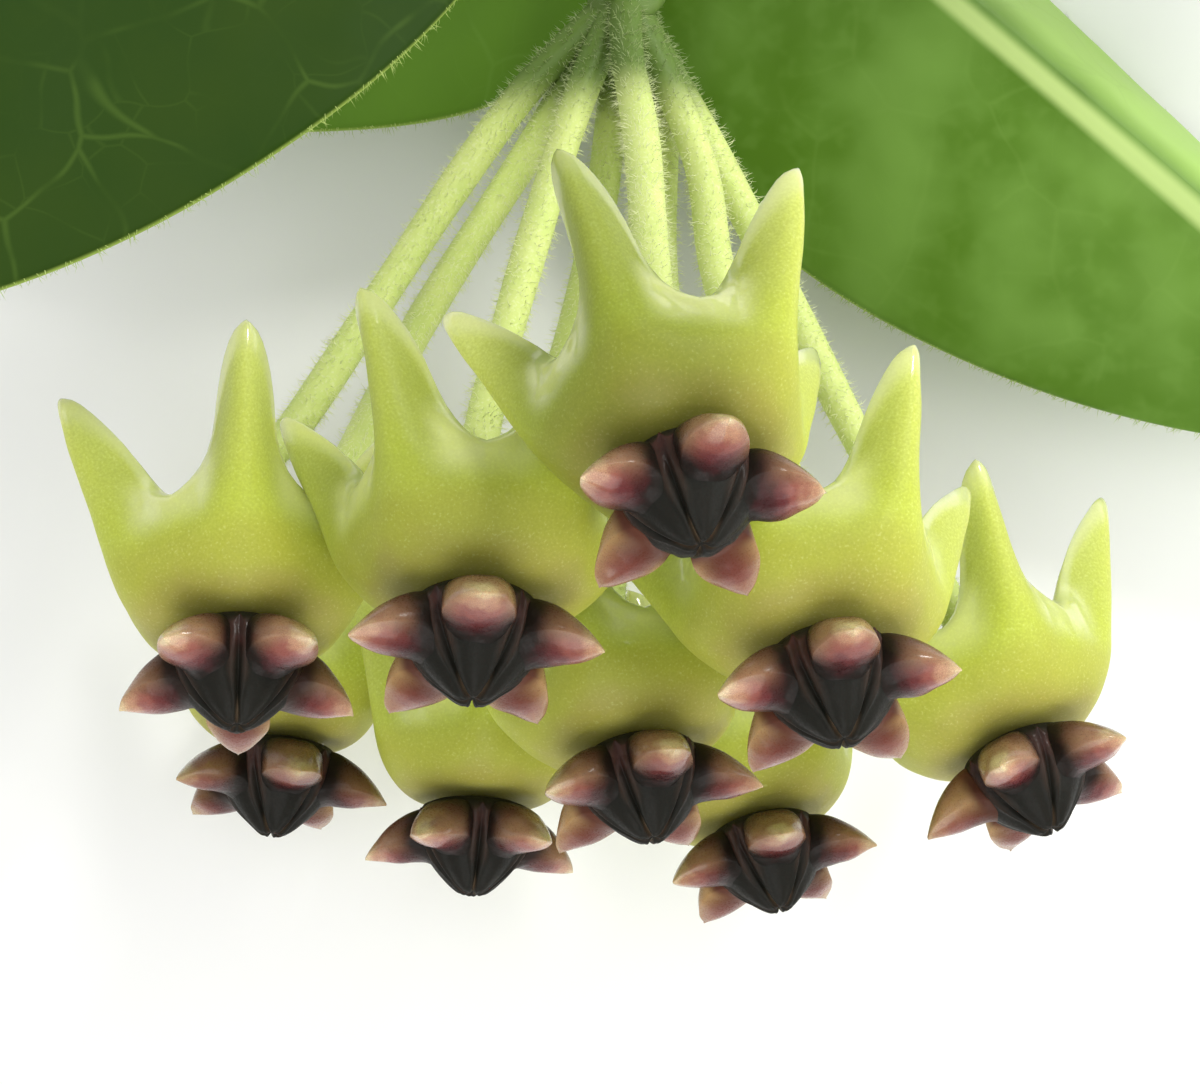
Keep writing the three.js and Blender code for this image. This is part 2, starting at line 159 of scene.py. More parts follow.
# Painted shadow of the leaves: the stalks and their hairs turn from pale to deep green
# between these two places along Y.
LEAF_SHADOW_EDGE = (16.4, 18.8)

# The hairs: how many, their thickness and their shortest and longest.
HAIR_SEED, LEAF_HAIR_SEED = 41, 77
HAIRS_PER_MM = 88
PEDUNCLE_HAIRS = 900
LEAF_HAIRS = 1100
HAIR_THICKNESS = 0.016
STALK_HAIR_LENGTHS = (0.22, 0.5)
PEDUNCLE_HAIR_LENGTHS = (0.12, 0.26)
LEAF_HAIR_LENGTHS = (0.2, 0.5)

# The stem and its two joints.
STEM_RADIUS = 1.6
JOINT_RADIUS = 2.2
STEM_POINTS = [(2.0, 60, 1.5), (1.7, 51, 1.5), (1.0, 44.5, 5), (1.5, 39, 14), (2.1, 40.5, 21), (2.6, 43, 27),
               (3.4, 47, 33)]
JOINTS = (STEM_POINTS[3], STEM_POINTS[5])

# The nine flowers: place of the crown's centre, degrees of tilt, turn and spin, size, how far the horns
# spread out and reach back, and how wide the neighbours leave it.
Flower = namedtuple("Flower", "at tilt turn spin size spread reach girth")
FLOWERS = [
    Flower((-13.25, -5.45, 25.8), 56, 3, 44, 1.01, 1.0, 0.98, 1.0),
    Flower((-4.4, -4.2, 31.0), 57, 0, 6, 1.03, 1.0, 0.95, 1.0),
    Flower((3.1, 0.9, 37.85), 46, 10, 19, 0.97, 1.0, 1.08, 1.0),
    Flower((8.4, -5.8, 29.3), 52, 9, 7, 1.02, 1.0, 0.97, 1.0),
    Flower((17.05, -9.95, 18.3), 61, 21, -16, 1.01, 1.0, 0.99, 0.98),
    Flower((-13.65, -10.8, 9.1), 70, -3, 17, 1.04, 0.78, 1.0, 0.88),
    Flower((-5.15, -12.9, 12.9), 71, -2, -28, 1.0, 0.78, 1.0, 0.92),
    Flower((1.75, -9.85, 22.65), 60, 11, 19, 0.99, 1.0, 1.0, 0.98),
    Flower((7.05, -13.65, 12.65), 62, 14, 10, 0.99, 1.0, 1.0, 0.95),
]

# The leaves: the midrib runs from base over bend to tip, and left and right are the angles at which a
# half falls away from the midrib and at its margin. The stalk runs from the joint.
PETIOLE_RADIUS = 1.0
LEAF_THICKNESS = 1.3
MARGIN_THICKNESS = 0.7
MARGIN_ROUNDING = 0.035
LEAF_POINT = 0.8
LEAF_WAVE = 0.35
# The height and width of the keel below, and of the rib above with a groove on either side of it.
KEEL, KEEL_WIDTH = 0.7, 1.1
RIB, RIB_WIDTH = 0.12, 0.55
GROOVE, GROOVE_AT, GROOVE_WIDTH = 0.1, 1.1, 0.7
# How high the blade swells between its side veins, where that fades, and the veins' number, lean and shift.
QUILT = 0.05
QUILT_FADES = (0.05, 0.3)
SIDE_VEINS, VEIN_LEAN, VEIN_SHIFT = 9, 1.5, 0.25
Leaf = namedtuple("Leaf", "base bend tip half_width fullness left right petiole")
LEAVES = {
    "leaf_left_front": Leaf((-1.6, 33.4, 26), (-22.8, 19.9, 34.5), (-44.0, 6.4, 37), 11.6, 0.55,
                            (5, 16), (5, 16), [(-0.5, 41.9, 26.8), (-1.8, 38, 26.2)]),
    "leaf_left_back": Leaf((0, 31.2, 11), (-22, 28.3, 11), (-44.6, 25.2, 3), 12.6, 0.24,
                           (6, 18), (6, 18), [(-1.4, 37.7, 13.0), (-1.2, 34.5, 11.4)]),
    "leaf_right": Leaf((3.6, 31.4, 11.2), (19.7, 17.9, 11.6), (35.8, 4.4, 8.8), 12.6, 0.45,
                       (56, 76), (12, 26), [(4.4, 37.7, 13.3), (4.6, 34.5, 12.0)]),
    "leaf_right_upper": Leaf((8.5, 44.5, 28), (28, 48, 32), (47.3, 54, 30), 12, 0.45,
                             (5, 20), (5, 20), [(5.3, 43.3, 27.3), (7, 43.9, 27.8)]),
}

# How finely the surfaces are divided.
STRETCH_STEPS = 40
COROLLA_STEPS = 14
COROLLA_ROWS = 40
INNER_ROWS = 16
MARGIN_STEPS = 160
CLAW_STATIONS = 36
CLAW_FRONT_COLUMNS = 15
CLAW_BACK_COLUMNS = 13
CONE_COLUMNS = 36
CALYX_COLUMNS = 60
BALL_ROWS, BALL_COLUMNS = 26, 40
STALK_STEPS, STALK_SIDES = 70, 18
PEDUNCLE_STEPS, PEDUNCLE_SIDES = 50, 24
LEAF_STATIONS = 110
LEAF_HALF_COLUMNS = 26
LEAF_EDGE_COLUMNS = 6
PETIOLE_STEPS, PETIOLE_SIDES = 52, 22
STEM_STEPS, STEM_SIDES = 150, 40


# Sums used all over.

def lerp(first, second, share):
    return first + (second - first) * share


def smoothstep(value, low, high):
    share = np.clip((value - low) / (high - low), 0, 1)
    return share * share * (3 - 2 * share)


def bell(value, middle, width):
    return np.exp(-((value - middle) / width) ** 2)


def unit(vectors):
    return vectors / np.linalg.norm(vectors, axis=-1, keepdims=True)


def round_angles(count):
    return np.linspace(0, 2 * math.pi, count, endpoint=False)


def through(points, where):
    """A smooth curve of height over distance through a few points."""
    points = np.array(points, float)
    x, y = points.T
    slopes = np.gradient(y, x)
    cell = np.clip(np.searchsorted(x, where) - 1, 0, len(x) - 2)
    step = x[cell + 1] - x[cell]
    share = np.clip((where - x[cell]) / step, 0, 1)
    rise_a, rise_b = slopes[cell] * step, slopes[cell + 1] * step
    blend = share * share * (3 - 2 * share)
    return lerp(y[cell], y[cell + 1], blend) + share * (1 - share) * (rise_a * (1 - share) - rise_b * share)


def unevenness(points, swell, seed):
    """A smooth repeatable number from about -1 to 1 over points, with swells of the given size."""
    waves, pitches, ease = 6, (0.7, 1.5), 3.5
    random = np.random.default_rng(seed)
    total = np.zeros(points.shape[:-1])
    for _ in range(waves):
        direction = unit(random.normal(size=3)) * random.uniform(*pitches)
        total += np.sin(points @ direction * (2 * math.pi / swell) + random.uniform(0, 2 * math.pi))
    return total / ease


def moved(points, matrix):
    matrix = np.array(matrix)
    return points @ matrix[:3, :3].T + matrix[:3, 3]


# Meshes.

def linked(name, data):
    made = bpy.data.objects.new(name, data)
    bpy.context.scene.collection.objects.link(made)
    return made


class Surface:
    """Points and faces gathered into one mesh, with a few measures that the finish reads."""

    def __init__(self, *measures):
        self.points = []
        self.faces = []
        self.measures = {name: [] for name in measures}
        self.count = 0

    def add(self, points, faces, **values):
        """Adds a skin. A measure that isn't given is 0 on it."""
        points = points.reshape(-1, 3)
        self.points.append(points)
        self.faces.extend(group + self.count for group in faces)
        for name, store in self.measures.items():
            store.append(np.broadcast_to(np.asarray(values.get(name, 0.0), float).ravel(), len(points)))
        self.count += len(points)

    def object(self, name, material):
        corners = np.concatenate([group.ravel() for group in self.faces])
        sizes = np.concatenate([np.full(len(group), group.shape[1]) for group in self.faces])
        points = np.concatenate(self.points)
        points[:, 2] = np.maximum(points[:, 2], 0)
        mesh = bpy.data.meshes.new(name)
        mesh.vertices.add(len(points))
        mesh.vertices.foreach_set("co", ((points - MIDDLE) * MM).astype(np.float32).ravel())
        mesh.loops.add(len(corners))
        mesh.loops.foreach_set("vertex_index", corners.astype(np.int32))
        mesh.polygons.add(len(sizes))
        starts = np.concatenate([[0], np.cumsum(sizes)[:-1]])
        mesh.polygons.foreach_set("loop_start", starts.astype(np.int32))
        mesh.update(calc_edges=True)
        mesh.polygons.foreach_set("use_smooth", np.ones(len(sizes), bool))
        for measure, values in self.measures.items():
            layer = mesh.attributes.new(measure, "FLOAT", "POINT")
            layer.data.foreach_set("value", np.concatenate(values).astype(np.float32))
        mesh.materials.append(material)
        return linked(name, mesh)


def loft(rings, first, last):
    """Points and faces of a skin over closed rings, drawn together in a point at either end."""
    rows, columns = rings.shape[:2]
    index = np.arange(rows * columns).reshape(rows, columns)
    turned = np.roll(index, -1, axis=1)
    quads = np.stack([index[:-1], turned[:-1], turned[1:], index[1:]], axis=-1).reshape(-1, 4)
    opening = np.stack([turned[0], index[0], np.full(columns, rows * columns)], axis=-1)
    closing = np.stack([index[-1], turned[-1], np.full(columns, rows * columns + 1)], axis=-1)
    return np.concatenate([rings.reshape(-1, 3), [first, last]]), [quads, opening, closing]


def with_ends(values, rings, first=0.0, last=0.0):
    """The measures of a loft's points, with those of its two end points added."""
    return np.concatenate([np.broadcast_to(values, rings.shape[:2]).ravel(), [first, last]])


def smooth_line(points, steps):
    """Evenly spaced places on the centripetal curve through points."""
    points = np.array(points, float)
    padded = np.concatenate([[2 * points[0] - points[1]], points, [2 * points[-1] - points[-2]]])
    share = np.linspace(0, 1, STRETCH_STEPS, endpoint=False)[:, None]
    stretches = []
    for a, b, c, d in zip(padded, padded[1:], padded[2:], padded[3:]):
        before, along, after = (math.sqrt(np.linalg.norm(q - p)) for p, q in ((a, b), (b, c), (c, d)))
        leave = ((b - a) / before - (c - a) / (before + along) + (c - b) / along) * along
        arrive = ((c - b) / along - (d - b) / (along + after) + (d - c) / after) * along
        stretches.append(cubic(b, c, leave, arrive, share))
    line = np.concatenate([*stretches, points[-1:]])
    lengths = np.concatenate([[0], np.cumsum(np.linalg.norm(np.diff(line, axis=0), axis=1))])
    wanted = np.linspace(0, lengths[-1], steps + 1)
    return np.stack([np.interp(wanted, lengths, line[:, axis]) for axis in range(3)], axis=1)


def cubic(start, end, leave, arrive, share):
    """A place on the curve that leaves its start and arrives at its end in the given directions."""
    third = 2 * start - 2 * end + leave + arrive
    second = -3 * start + 3 * end - 2 * leave - arrive
    return ((third * share + second) * share + leave) * share + start


def line_length(line):
    return np.linalg.norm(np.diff(line, axis=0), axis=1).sum()


def carried_frames(line):
    """Two directions square to a line at each of its places, carried along it without twisting."""
    tangents = unit(np.gradient(line, axis=0))
    askew = (0.3, 0.2, 1.0)
    side = unit(np.cross(tangents[0], askew))
    sides = []
    for tangent in tangents:
        side = unit(side - tangent * (side @ tangent))
        sides.append(side)
    sides = np.array(sides)
    return tangents, sides, np.cross(tangents, sides)


def tube_rings(line, radii, sides):
    """Rings along a line. Radii has a row for each place, of one number or of one for each side."""
    across, up = carried_frames(line)[1:]
    angles = round_angles(sides)
    spokes = np.cos(angles)[:, None] * across[:, None] + np.sin(angles)[:, None] * up[:, None]
    return line[:, None] + spokes * radii[..., None]


def tube(line, radii, sides):
    """Points and faces of a round skin along a line, whose ends are closed by low domes."""
    dome = 0.1
    first = line[0] - unit(line[1] - line[0]) * dome * radii[0]
    last = line[-1] + unit(line[-1] - line[-2]) * dome * radii[-1]
    return loft(tube_rings(line, radii[:, None], sides), first, last)


def knobbly_ball(center, radius, seed, roughness):
    """Points and faces of a closed ball with low knobs."""
    polar = np.linspace(0, math.pi, BALL_ROWS + 2)[1:-1][:, None]
    angle = round_angles(BALL_COLUMNS)
    spokes = np.stack([np.sin(polar) * np.cos(angle), np.sin(polar) * np.sin(angle),
                       np.cos(polar) * np.ones_like(angle)], axis=-1)
    spokes = np.concatenate([spokes.reshape(-1, 3), [[0, 0, 1], [0, 0, -1]]])
    knob_size = 0.9 * radius
    swollen = radius * (1 + roughness * unevenness(spokes * radius, knob_size, seed))
    points = np.array(center) + spokes * swollen[:, None]
    rings = points[:-2].reshape(BALL_ROWS, BALL_COLUMNS, 3)
    return loft(rings[::-1, ::-1], points[-1], points[-2])


# The corolla: thick petals joined in a bell, whose five lobes are bent back into horns.

def flower_matrix(flower):
    turn = Matrix.Rotation(math.radians(flower.turn), 4, "Z")
    tilt = Matrix.Rotation(math.radians(flower.tilt), 4, "X")
    spin = Matrix.Rotation(-math.radians(flower.spin), 4, "Z")
    return Matrix.Translation(flower.at) @ turn @ tilt @ spin @ Matrix.Scale(flower.size, 4)


def round_axis(radius, angle, height):
    """Places at a radius, an angle and a height, round a flower's own axis."""
    return np.stack([radius * np.sin(angle), radius * np.cos(angle), height * np.ones_like(angle)], axis=-1)


def variation(flower, lobe):
    """A repeatable number from -1 to 1, which makes no two lobes quite alike."""
    return np.sin(12.9898 * (flower + 1) + 78.233 * (lobe + 1))


def margin_curve(shares):
    """Places on the lobe's margin: 0 is the horn's tip, 1 the sinus."""
    points = np.array(MARGIN, float)
    count = len(points)
    place = np.clip(shares * (count - 1), 0, count - 1 - 1e-9)
    cell = place.astype(int)
    a = points[np.where(cell == 0, cell, cell - 1)]
    b, c = points[cell], points[cell + 1]
    d = points[np.minimum(cell + 2, count - 1)]
    return cubic(b, c, (c - a) / 2, (d - b) / 2, (place - cell)[..., None])


MARGIN_LINE = margin_curve(np.linspace(0, 1, MARGIN_STEPS))


def shoulder_radius(back):
    return FACE_RADIUS + SHOULDER * np.sqrt(1 - (1 - np.clip(back / SHOULDER_DEPTH, 0, 1)) ** 2)


def ridge_radius(depth, spread):
    back = depth - FACE_DEPTH
    return shoulder_radius(back) + spread * (RIDGE_RISE * back - RIDGE_EASE * back * back)


def hollow_radius(depth):
    back = np.minimum(depth, SINUS_DEPTH) - FACE_DEPTH
    return shoulder_radius(back) + HOLLOW_RISE * back - HOLLOW_EASE * back * back


def margin_radius(depth):
    return NOTCH_RADIUS + MARGIN_FLARE * (depth - SINUS_DEPTH)


def fullness(across, depth):
    """How full a lobe is at a place: 1 inside, falling to 0 in a round curve at the margin."""
    wider = ROLL + ROLL_GAIN * smoothstep(depth, SINUS_DEPTH, 8)
    roll = wider - ROLL_LOSS * smoothstep(depth, 9.5, HORN_DEPTH)
    place = np.stack([across, depth], axis=-1)
    distance = np.linalg.norm(place[..., None, :] - MARGIN_LINE, axis=-1).min(axis=-1)
    closeness = np.clip(1 - distance / roll, 0, 1)
    return np.sqrt(1 - closeness ** ROLL_ROUNDNESS)


def corolla_radii(angle, depth, spread):
    """Outer and inner radius of the corolla at an angle from a horn's middle and a depth."""
    ridge = ridge_radius(depth, spread)
    sharpness = 1 + 3 * smoothstep(depth, *RIDGES_SHARPEN)
    outer = lerp(hollow_radius(depth), ridge, (0.5 + 0.5 * np.cos(LOBES * angle)) ** sharpness)
    bulk = HORN_BULK - HORN_TAPER * smoothstep(depth, HORNS_THICKEN[1], HORN_DEPTH)
    inner = lerp(outer - WALL, ridge - bulk, smoothstep(depth, *HORNS_THICKEN))
    middle = (outer + inner) / 2
    full = fullness(angle * margin_radius(depth), depth)
    return middle + (outer - middle) * full, middle - (middle - inner) * full


def corolla_ring(fraction, inner, number, lobe, step):
    """One ring of the outer or inner wall. Fraction runs from 0 at the face to 1 at the margin."""
    flower = FLOWERS[number]
    across = np.abs(step) / COROLLA_STEPS
    margin_across, margin_depth = margin_curve(lerp(across, across ** 2, 0.25)).T
    spread = flower.spread * (1 + 0.05 * variation(number, lobe))
    start = FACE_DEPTH + (FACE_THICKNESS + 0.3 if inner else 0.02)
    depth = lerp(start, margin_depth, fraction)
    margin_angle = margin_across / margin_radius(margin_depth)
    angle = lerp(HALF_LOBE * across, margin_angle, smoothstep(fraction, 0.1, 1))
    outer_radius, inner_radius = corolla_radii(angle, depth, spread)
    if fraction == 1:
        outer_radius = inner_radius = (outer_radius + inner_radius) / 2
    radius = flower.girth * (inner_radius if inner else outer_radius)
    hook = HORN_HOOK * variation(number + 3, lobe) * smoothstep(depth, 8, HORN_DEPTH) ** 2
    around = HALF_LOBE * (2 * lobe + 1) + np.sign(step) * angle + hook
    back = np.minimum(depth, SINUS_DEPTH) + flower.reach * np.maximum(depth - SINUS_DEPTH, 0)
    return round_axis(radius, around, -back)


def corolla(number, material):
    flower = FLOWERS[number]
    steps = np.arange(-COROLLA_STEPS, COROLLA_STEPS)
    lobe = np.repeat(np.arange(LOBES), len(steps))
    step = np.tile(steps, LOBES)
    across = np.abs(step) / COROLLA_STEPS

    # Rows crowd towards the face and the margin. The inner wall's rows come back from the margin.
    at_face, at_margin, inner_start = 1.6, 1.8, 0.06
    outer_rows = 1 - (1 - np.linspace(0, 1, COROLLA_ROWS + 1) ** at_face) ** at_margin
    inner_rows = lerp(inner_start, 1, 1 - (1 - np.linspace(0, 1, INNER_ROWS + 1)) ** at_margin)[-2::-1]
    rings = np.array([corolla_ring(row, False, number, lobe, step) for row in outer_rows]
                     + [corolla_ring(row, True, number, lobe, step) for row in inner_rows])

    notch_size, notch_share, notch_seed = NOTCH_SWELLS
    notch = bell(-rings[..., 2], SINUS_DEPTH, 1.0) * (across > 0.45)
    swell = sum(share * unevenness(rings, size, seed + number) for size, share, seed in SWELLS)
    swell = swell + notch_share * notch * unevenness(rings, notch_size, notch_seed + number)
    outward = unit(rings * (1, 1, 0) + (0, 0, 1e-6))
    rings = rings + outward * (SWELL_HEIGHT * swell)[..., None]

    depth = np.clip((-rings[..., 2] - FACE_DEPTH) / (HORN_DEPTH - FACE_DEPTH), 0, 1)
    edge = smoothstep(np.concatenate([outer_rows, inner_rows])[:, None], 0.78, 1)
    points, faces = loft(rings, (0, 0, -FACE_DEPTH), (0, 0, -FACE_DEPTH - FACE_THICKNESS))
    points = moved(points, flower_matrix(flower))
    aside = points[:, 0] - flower.at[0]
    # Painted shade: each flower darkens towards olive on its left side.
    olive = SIDE_SHADE[number] * smoothstep(aside, *SIDE_SHADE_COMES) * (1 - smoothstep(aside, *SIDE_SHADE_GOES))
    surface = Surface("depth", "lobe", "edge", "olive")
    surface.add(points, faces, depth=with_ends(depth, rings), edge=with_ends(edge, rings),
                lobe=with_ends(1 - across, rings, 0.5, 0.5), olive=olive)
    return surface.object(f"flower_{number + 1}_corolla", material)


# The crown: five plump pointed claws round a dark five-sided cone, whose faces part in slits.

def claw(random):
    """One claw along +Y: a low crowned front with a soft edge, steep flanks and a keel. Also how far out
    along it each point is, whether it is on the front, and how close to the rim."""
    even = np.linspace(0, 1, CLAW_STATIONS + 2)[1:-1]
    reach = (0.5 - 0.5 * np.cos(math.pi * even))[:, None]
    radius = lerp(CLAW_ROOT, CROWN_TIP_RADIUS, reach)
    width = through(CLAW_WIDTH, radius) * random.uniform(*CLAW_WIDTHS)
    front = through(CLAW_FRONT, radius)
    edge = front - CLAW_EDGE_DROP * (1 - reach ** 6) * smoothstep(reach, -0.1, 0.3)
    keel = CROWN_BASE * (1 - (radius / CROWN_TIP_RADIUS) ** CLAW_KEEL_POWER)
    share = np.sin(math.pi / 2 * np.linspace(1, -1, CLAW_FRONT_COLUMNS))
    crest = CLAW_CREST * bell(share, 0, 0.25) * smoothstep(reach, 0.3, 0.6)
    front_height = lerp(edge, front, 1 - np.abs(share) ** 2.3) + crest
    angle = np.linspace(0, math.pi, CLAW_BACK_COLUMNS + 2)[1:-1]
    back_share = -np.sign(np.cos(angle)) * np.abs(np.cos(angle)) ** 0.62
    back_height = edge + (keel - edge) * np.sin(angle) ** 0.8
    back_width = 1 + ((1 - reach) ** 2 - 0.16) * np.sin(angle)
    across = width * np.concatenate([share * np.ones_like(reach), back_share * back_width], axis=1)
    height = np.concatenate([front_height, back_height], axis=1)
    points = np.stack([across, np.broadcast_to(radius, across.shape), height], axis=-1)
    points += (CLAW_BUMPS * unevenness(points + random.uniform(0, 50, 3), 1.6, 7))[..., None]
    lean = random.uniform(-CLAW_LEAN, CLAW_LEAN)
    points[..., 0] += lean * (points[..., 1] - CLAW_ROOT)
    tip = np.array([lean * (CROWN_TIP_RADIUS - CLAW_ROOT), CROWN_TIP_RADIUS, CLAW_FRONT[-1][1]])
    root = np.array([0, CLAW_ROOT, CLAW_FRONT[0][1] - 0.5])
    on_front = np.concatenate([np.minimum(1, 3 * (1 - np.abs(share))), np.zeros(CLAW_BACK_COLUMNS)])
    rim = np.concatenate([np.abs(share) ** 3, np.abs(back_share) ** 8])
    darkening = np.concatenate([0.2 * np.abs(share) ** 1.6, 0.2 + 0.14 * np.sin(angle)])
    return points, root, tip, reach - darkening * (1 - reach), on_front, rim


def cone():
    """The dark cone, with how close each point is to a slit, to its lips and to the rim."""
    share = np.linspace(-1, 1, CONE_COLUMNS, endpoint=False)
    aside = np.tile(HALF_LOBE * np.sin(math.pi / 2 * share), LOBES)
    around = np.repeat(2 * HALF_LOBE * np.arange(LOBES), CONE_COLUMNS) + aside
    radius = np.array(CONE_RADII)[:, None]
    distance = radius * (HALF_LOBE - np.abs(aside))
    inner = smoothstep(radius, 0.05, 0.35)
    out = smoothstep(radius, 0.9, 1.9)
    slit = bell(distance, 0, lerp(0.05, 0.09, out)) * inner
    lip = bell(distance, lerp(0.13, 0.27, out), lerp(0.07, 0.14, out)) * inner
    facet = FACET * np.cos(LOBES * aside) * smoothstep(radius, 0.1, 0.7)
    height = through(CONE_PROFILE, radius) - SLIT_DEPTH * slit + lerp(0.06, 0.16, out) * lip + facet
    girth = radius * (1 - 0.05 * np.cos(LOBES * aside) * smoothstep(radius, 1.9, 2.3))
    foot = [round_axis(low_radius, around, low) for low_radius, low in CONE_FOOT]
    rings = np.concatenate([round_axis(girth, around, height), foot])
    rim = 0.32 * smoothstep(radius, 1.8, 2.25) * np.ones_like(slit)
    slit = slit * (1 - smoothstep(radius, 0.5, 1.1))
    lip = lip * smoothstep(radius, 1.3, 2.0)
    pad = ((0, len(foot)), (0, 0))
    return rings[:, ::-1], *(np.pad(values, pad)[:, ::-1] for values in (slit, lip, rim))


def crown(number, material):
    flower = FLOWERS[number]
    random = np.random.default_rng(500 + number)
    matrix = flower_matrix(flower)
    surface = Surface("reach", "slit", "lip", "rim", "front", "low", "shade")
    rings, slit, lip, rim = cone()
    points, faces = loft(rings, (0, 0, CONE_PROFILE[0][1]), (0, 0, CROWN_BASE))
    surface.add(moved(points, matrix), faces, reach=with_ends(rim, rings), slit=with_ends(slit, rings),
                lip=with_ends(lip, rings))
    for lobe in range(LOBES):
        rings, root, tip, reach, front, rim = claw(random)
        points, faces = loft(rings, root, tip)
        turn = Matrix.Rotation(-2 * HALF_LOBE * lobe + random.uniform(-CLAW_TURN, CLAW_TURN), 4, "Z")
        points[:, 2] += random.uniform(-CLAW_LIFT, CLAW_LIFT) * smoothstep(points[:, 1], 2, 4)
        points = moved(points, matrix @ turn)
        # Lower claws get painted light shining through; the others get the crown's painted shade.
        low = smoothstep(flower.at[1] - points[-1, 1], 0.5, 2.2)
        surface.add(points, faces, low=low, shade=CROWN_SHADE[number] * (1 - low),
                    reach=with_ends(reach, rings, 0.0, 1.0), rim=with_ends(rim, rings, 0.0, 1.0),
                    front=with_ends(front, rings, 1.0, 1.0))
    return surface.object(f"flower_{number + 1}_crown", material)


# The stalks, and the hairs on them.

def stalk_line(flower, points):
    matrix = flower_matrix(flower)
    behind = [np.array(matrix @ Matrix.Translation((0, 0, -CALYX_DEPTH - depth)))[:3, 3]
              for depth in (STALK_STRAIGHT, STALK_ENDS_INSIDE)]
    return smooth_line([HEAD_ROOT, *points, *behind], STALK_STEPS)


def stalk_radii(count, seed):
    """A stalk's radius along it: thicker where it starts and where it meets the calyx."""
    along = np.linspace(0, 1, count)
    random = np.random.default_rng(seed)
    wobble = 0.03 * np.sin(along * random.uniform(14, 22) + random.uniform(0, 6))
    thicker = 0.14 * smoothstep(along, 0.85, 1) + 0.1 * (1 - smoothstep(along, 0, 0.08))
    return STALK_RADIUS * (0.98 + wobble + thicker)


def calyx():
    """The small green cup behind a corolla, with five short lobes, in the flower's frame."""
    angle = round_angles(CALYX_COLUMNS)
    notches = CALYX_NOTCH * (1 - np.abs(np.cos(LOBES / 2 * angle)) ** 0.7)
    radius, depth = np.array(CALYX_PROFILE).T[..., None]
    reach = radius * (1 - notches * smoothstep(radius, 0.9, 1.3))
    rings = round_axis(reach, angle, -CALYX_DEPTH - depth)
    return loft(rings, (0, 0, -CALYX_DEPTH), (0, 0, -CALYX_DEPTH - CALYX_THICKNESS))


def stalks(material):
    surface = Surface("shade")
    for number, (flower, points) in enumerate(zip(FLOWERS, STALK_POINTS)):
        line = stalk_line(flower, points)
        skin, faces = tube(line, stalk_radii(len(line), number), STALK_SIDES)
        # Painted shadow of the leaves over the stalks' upper parts.
        surface.add(skin, faces, shade=smoothstep(skin[:, 1], *LEAF_SHADOW_EDGE))
        cup, faces = calyx()
        surface.add(moved(cup, flower_matrix(flower)), faces)
    line = smooth_line(PEDUNCLE_POINTS, PEDUNCLE_STEPS)
    along = np.linspace(0, 1, len(line))
    knobs = 0.06 * np.sin(along * 60) * smoothstep(along, 0.7, 0.9)
    radii = PEDUNCLE_RADIUS * (1 + 0.032 * np.sin(along * 9) + knobs)
    # The common stalk and the head's root lie wholly in the leaves' painted shadow.
    surface.add(*tube(line, radii, PEDUNCLE_SIDES), shade=1.0)
    surface.add(*knobbly_ball(HEAD_ROOT, HEAD_ROOT_RADIUS, 91, 0.12), shade=1.0)
    return surface.object("stalks", material)


def hairs_on_line(surface, line, radii, count, lengths, random):
    """Fine bent hairs, rooted just under the skin of a round stalk."""
    sink = 0.04
    tangents, across, up = carried_frames(line)
    place = random.uniform(0, len(line) - 1.001, count)
    cell = place.astype(int)
    share = place - cell
    pick = lambda values: lerp(values[cell], values[cell + 1], share[:, None])
    angle = random.uniform(0, 2 * math.pi, count)[:, None]
    outward = unit(np.cos(angle) * pick(across) + np.sin(angle) * pick(up))
    root = pick(line) + outward * (lerp(radii[cell], radii[cell + 1], share) - sink)[:, None]
    lean = unit(outward + random.normal(0, 0.35, (count, 3)) + 0.25 * pick(tangents))
    bristles(surface, root, lean, outward, random.uniform(*lengths, count), random)


def bristles(surface, root, lean, outward, length, random):
    """Three-sided hairs that taper to a point and bend a little at half their length."""
    count = len(root)
    side = unit(np.cross(lean, outward + random.normal(0, 0.2, (count, 3))))
    up = np.cross(lean, side)
    bend = unit(lean + random.normal(0, 0.35, (count, 3)))
    middle = root + lean * (0.5 * length)[:, None]
    tip = middle + bend * (0.55 * length)[:, None]
    thickness = HAIR_THICKNESS * random.uniform(0.8, 1.2, count)[:, None]
    ring = [np.cos(angle) * side + np.sin(angle) * up for angle in round_angles(3)]
    points = np.stack([root + spoke * thickness for spoke in ring]
                      + [middle + spoke * thickness * 0.7 for spoke in ring] + [tip], axis=1)
    start = (np.arange(count) * 7)[:, None]
    quads = np.concatenate([start + (a, b, b + 3, a + 3) for a, b in ((0, 1), (1, 2), (2, 0))])
    ends = np.concatenate([start + (a, b, 6) for a, b in ((3, 4), (4, 5), (5, 3))])
    points = points.reshape(-1, 3)
    # Painted shadow of the leaves on the hairs, as on the stalks.
    surface.add(points, [quads, ends], shade=smoothstep(points[:, 1], *LEAF_SHADOW_EDGE))


def stalk_hairs(material):
    """The hairs of each flower's stalk, then those of the common stalk."""
    random = np.random.default_rng(HAIR_SEED)
    for number, (flower, points) in enumerate(zip(FLOWERS, STALK_POINTS)):
        surface = Surface("shade")
        line = stalk_line(flower, points)
        count = int(line_length(line) * HAIRS_PER_MM)
        hairs_on_line(surface, line, stalk_radii(len(line), number), count, STALK_HAIR_LENGTHS, random)
        yield surface.object(f"stalk_{number + 1}_hairs", material)
    surface = Surface("shade")
    line = smooth_line(PEDUNCLE_POINTS, PEDUNCLE_STEPS)
    radii = np.full(len(line), PEDUNCLE_RADIUS)
    hairs_on_line(surface, line, radii, PEDUNCLE_HAIRS, PEDUNCLE_HAIR_LENGTHS, random)
    yield surface.object("common_stalk_hairs", material)


# The leaves.

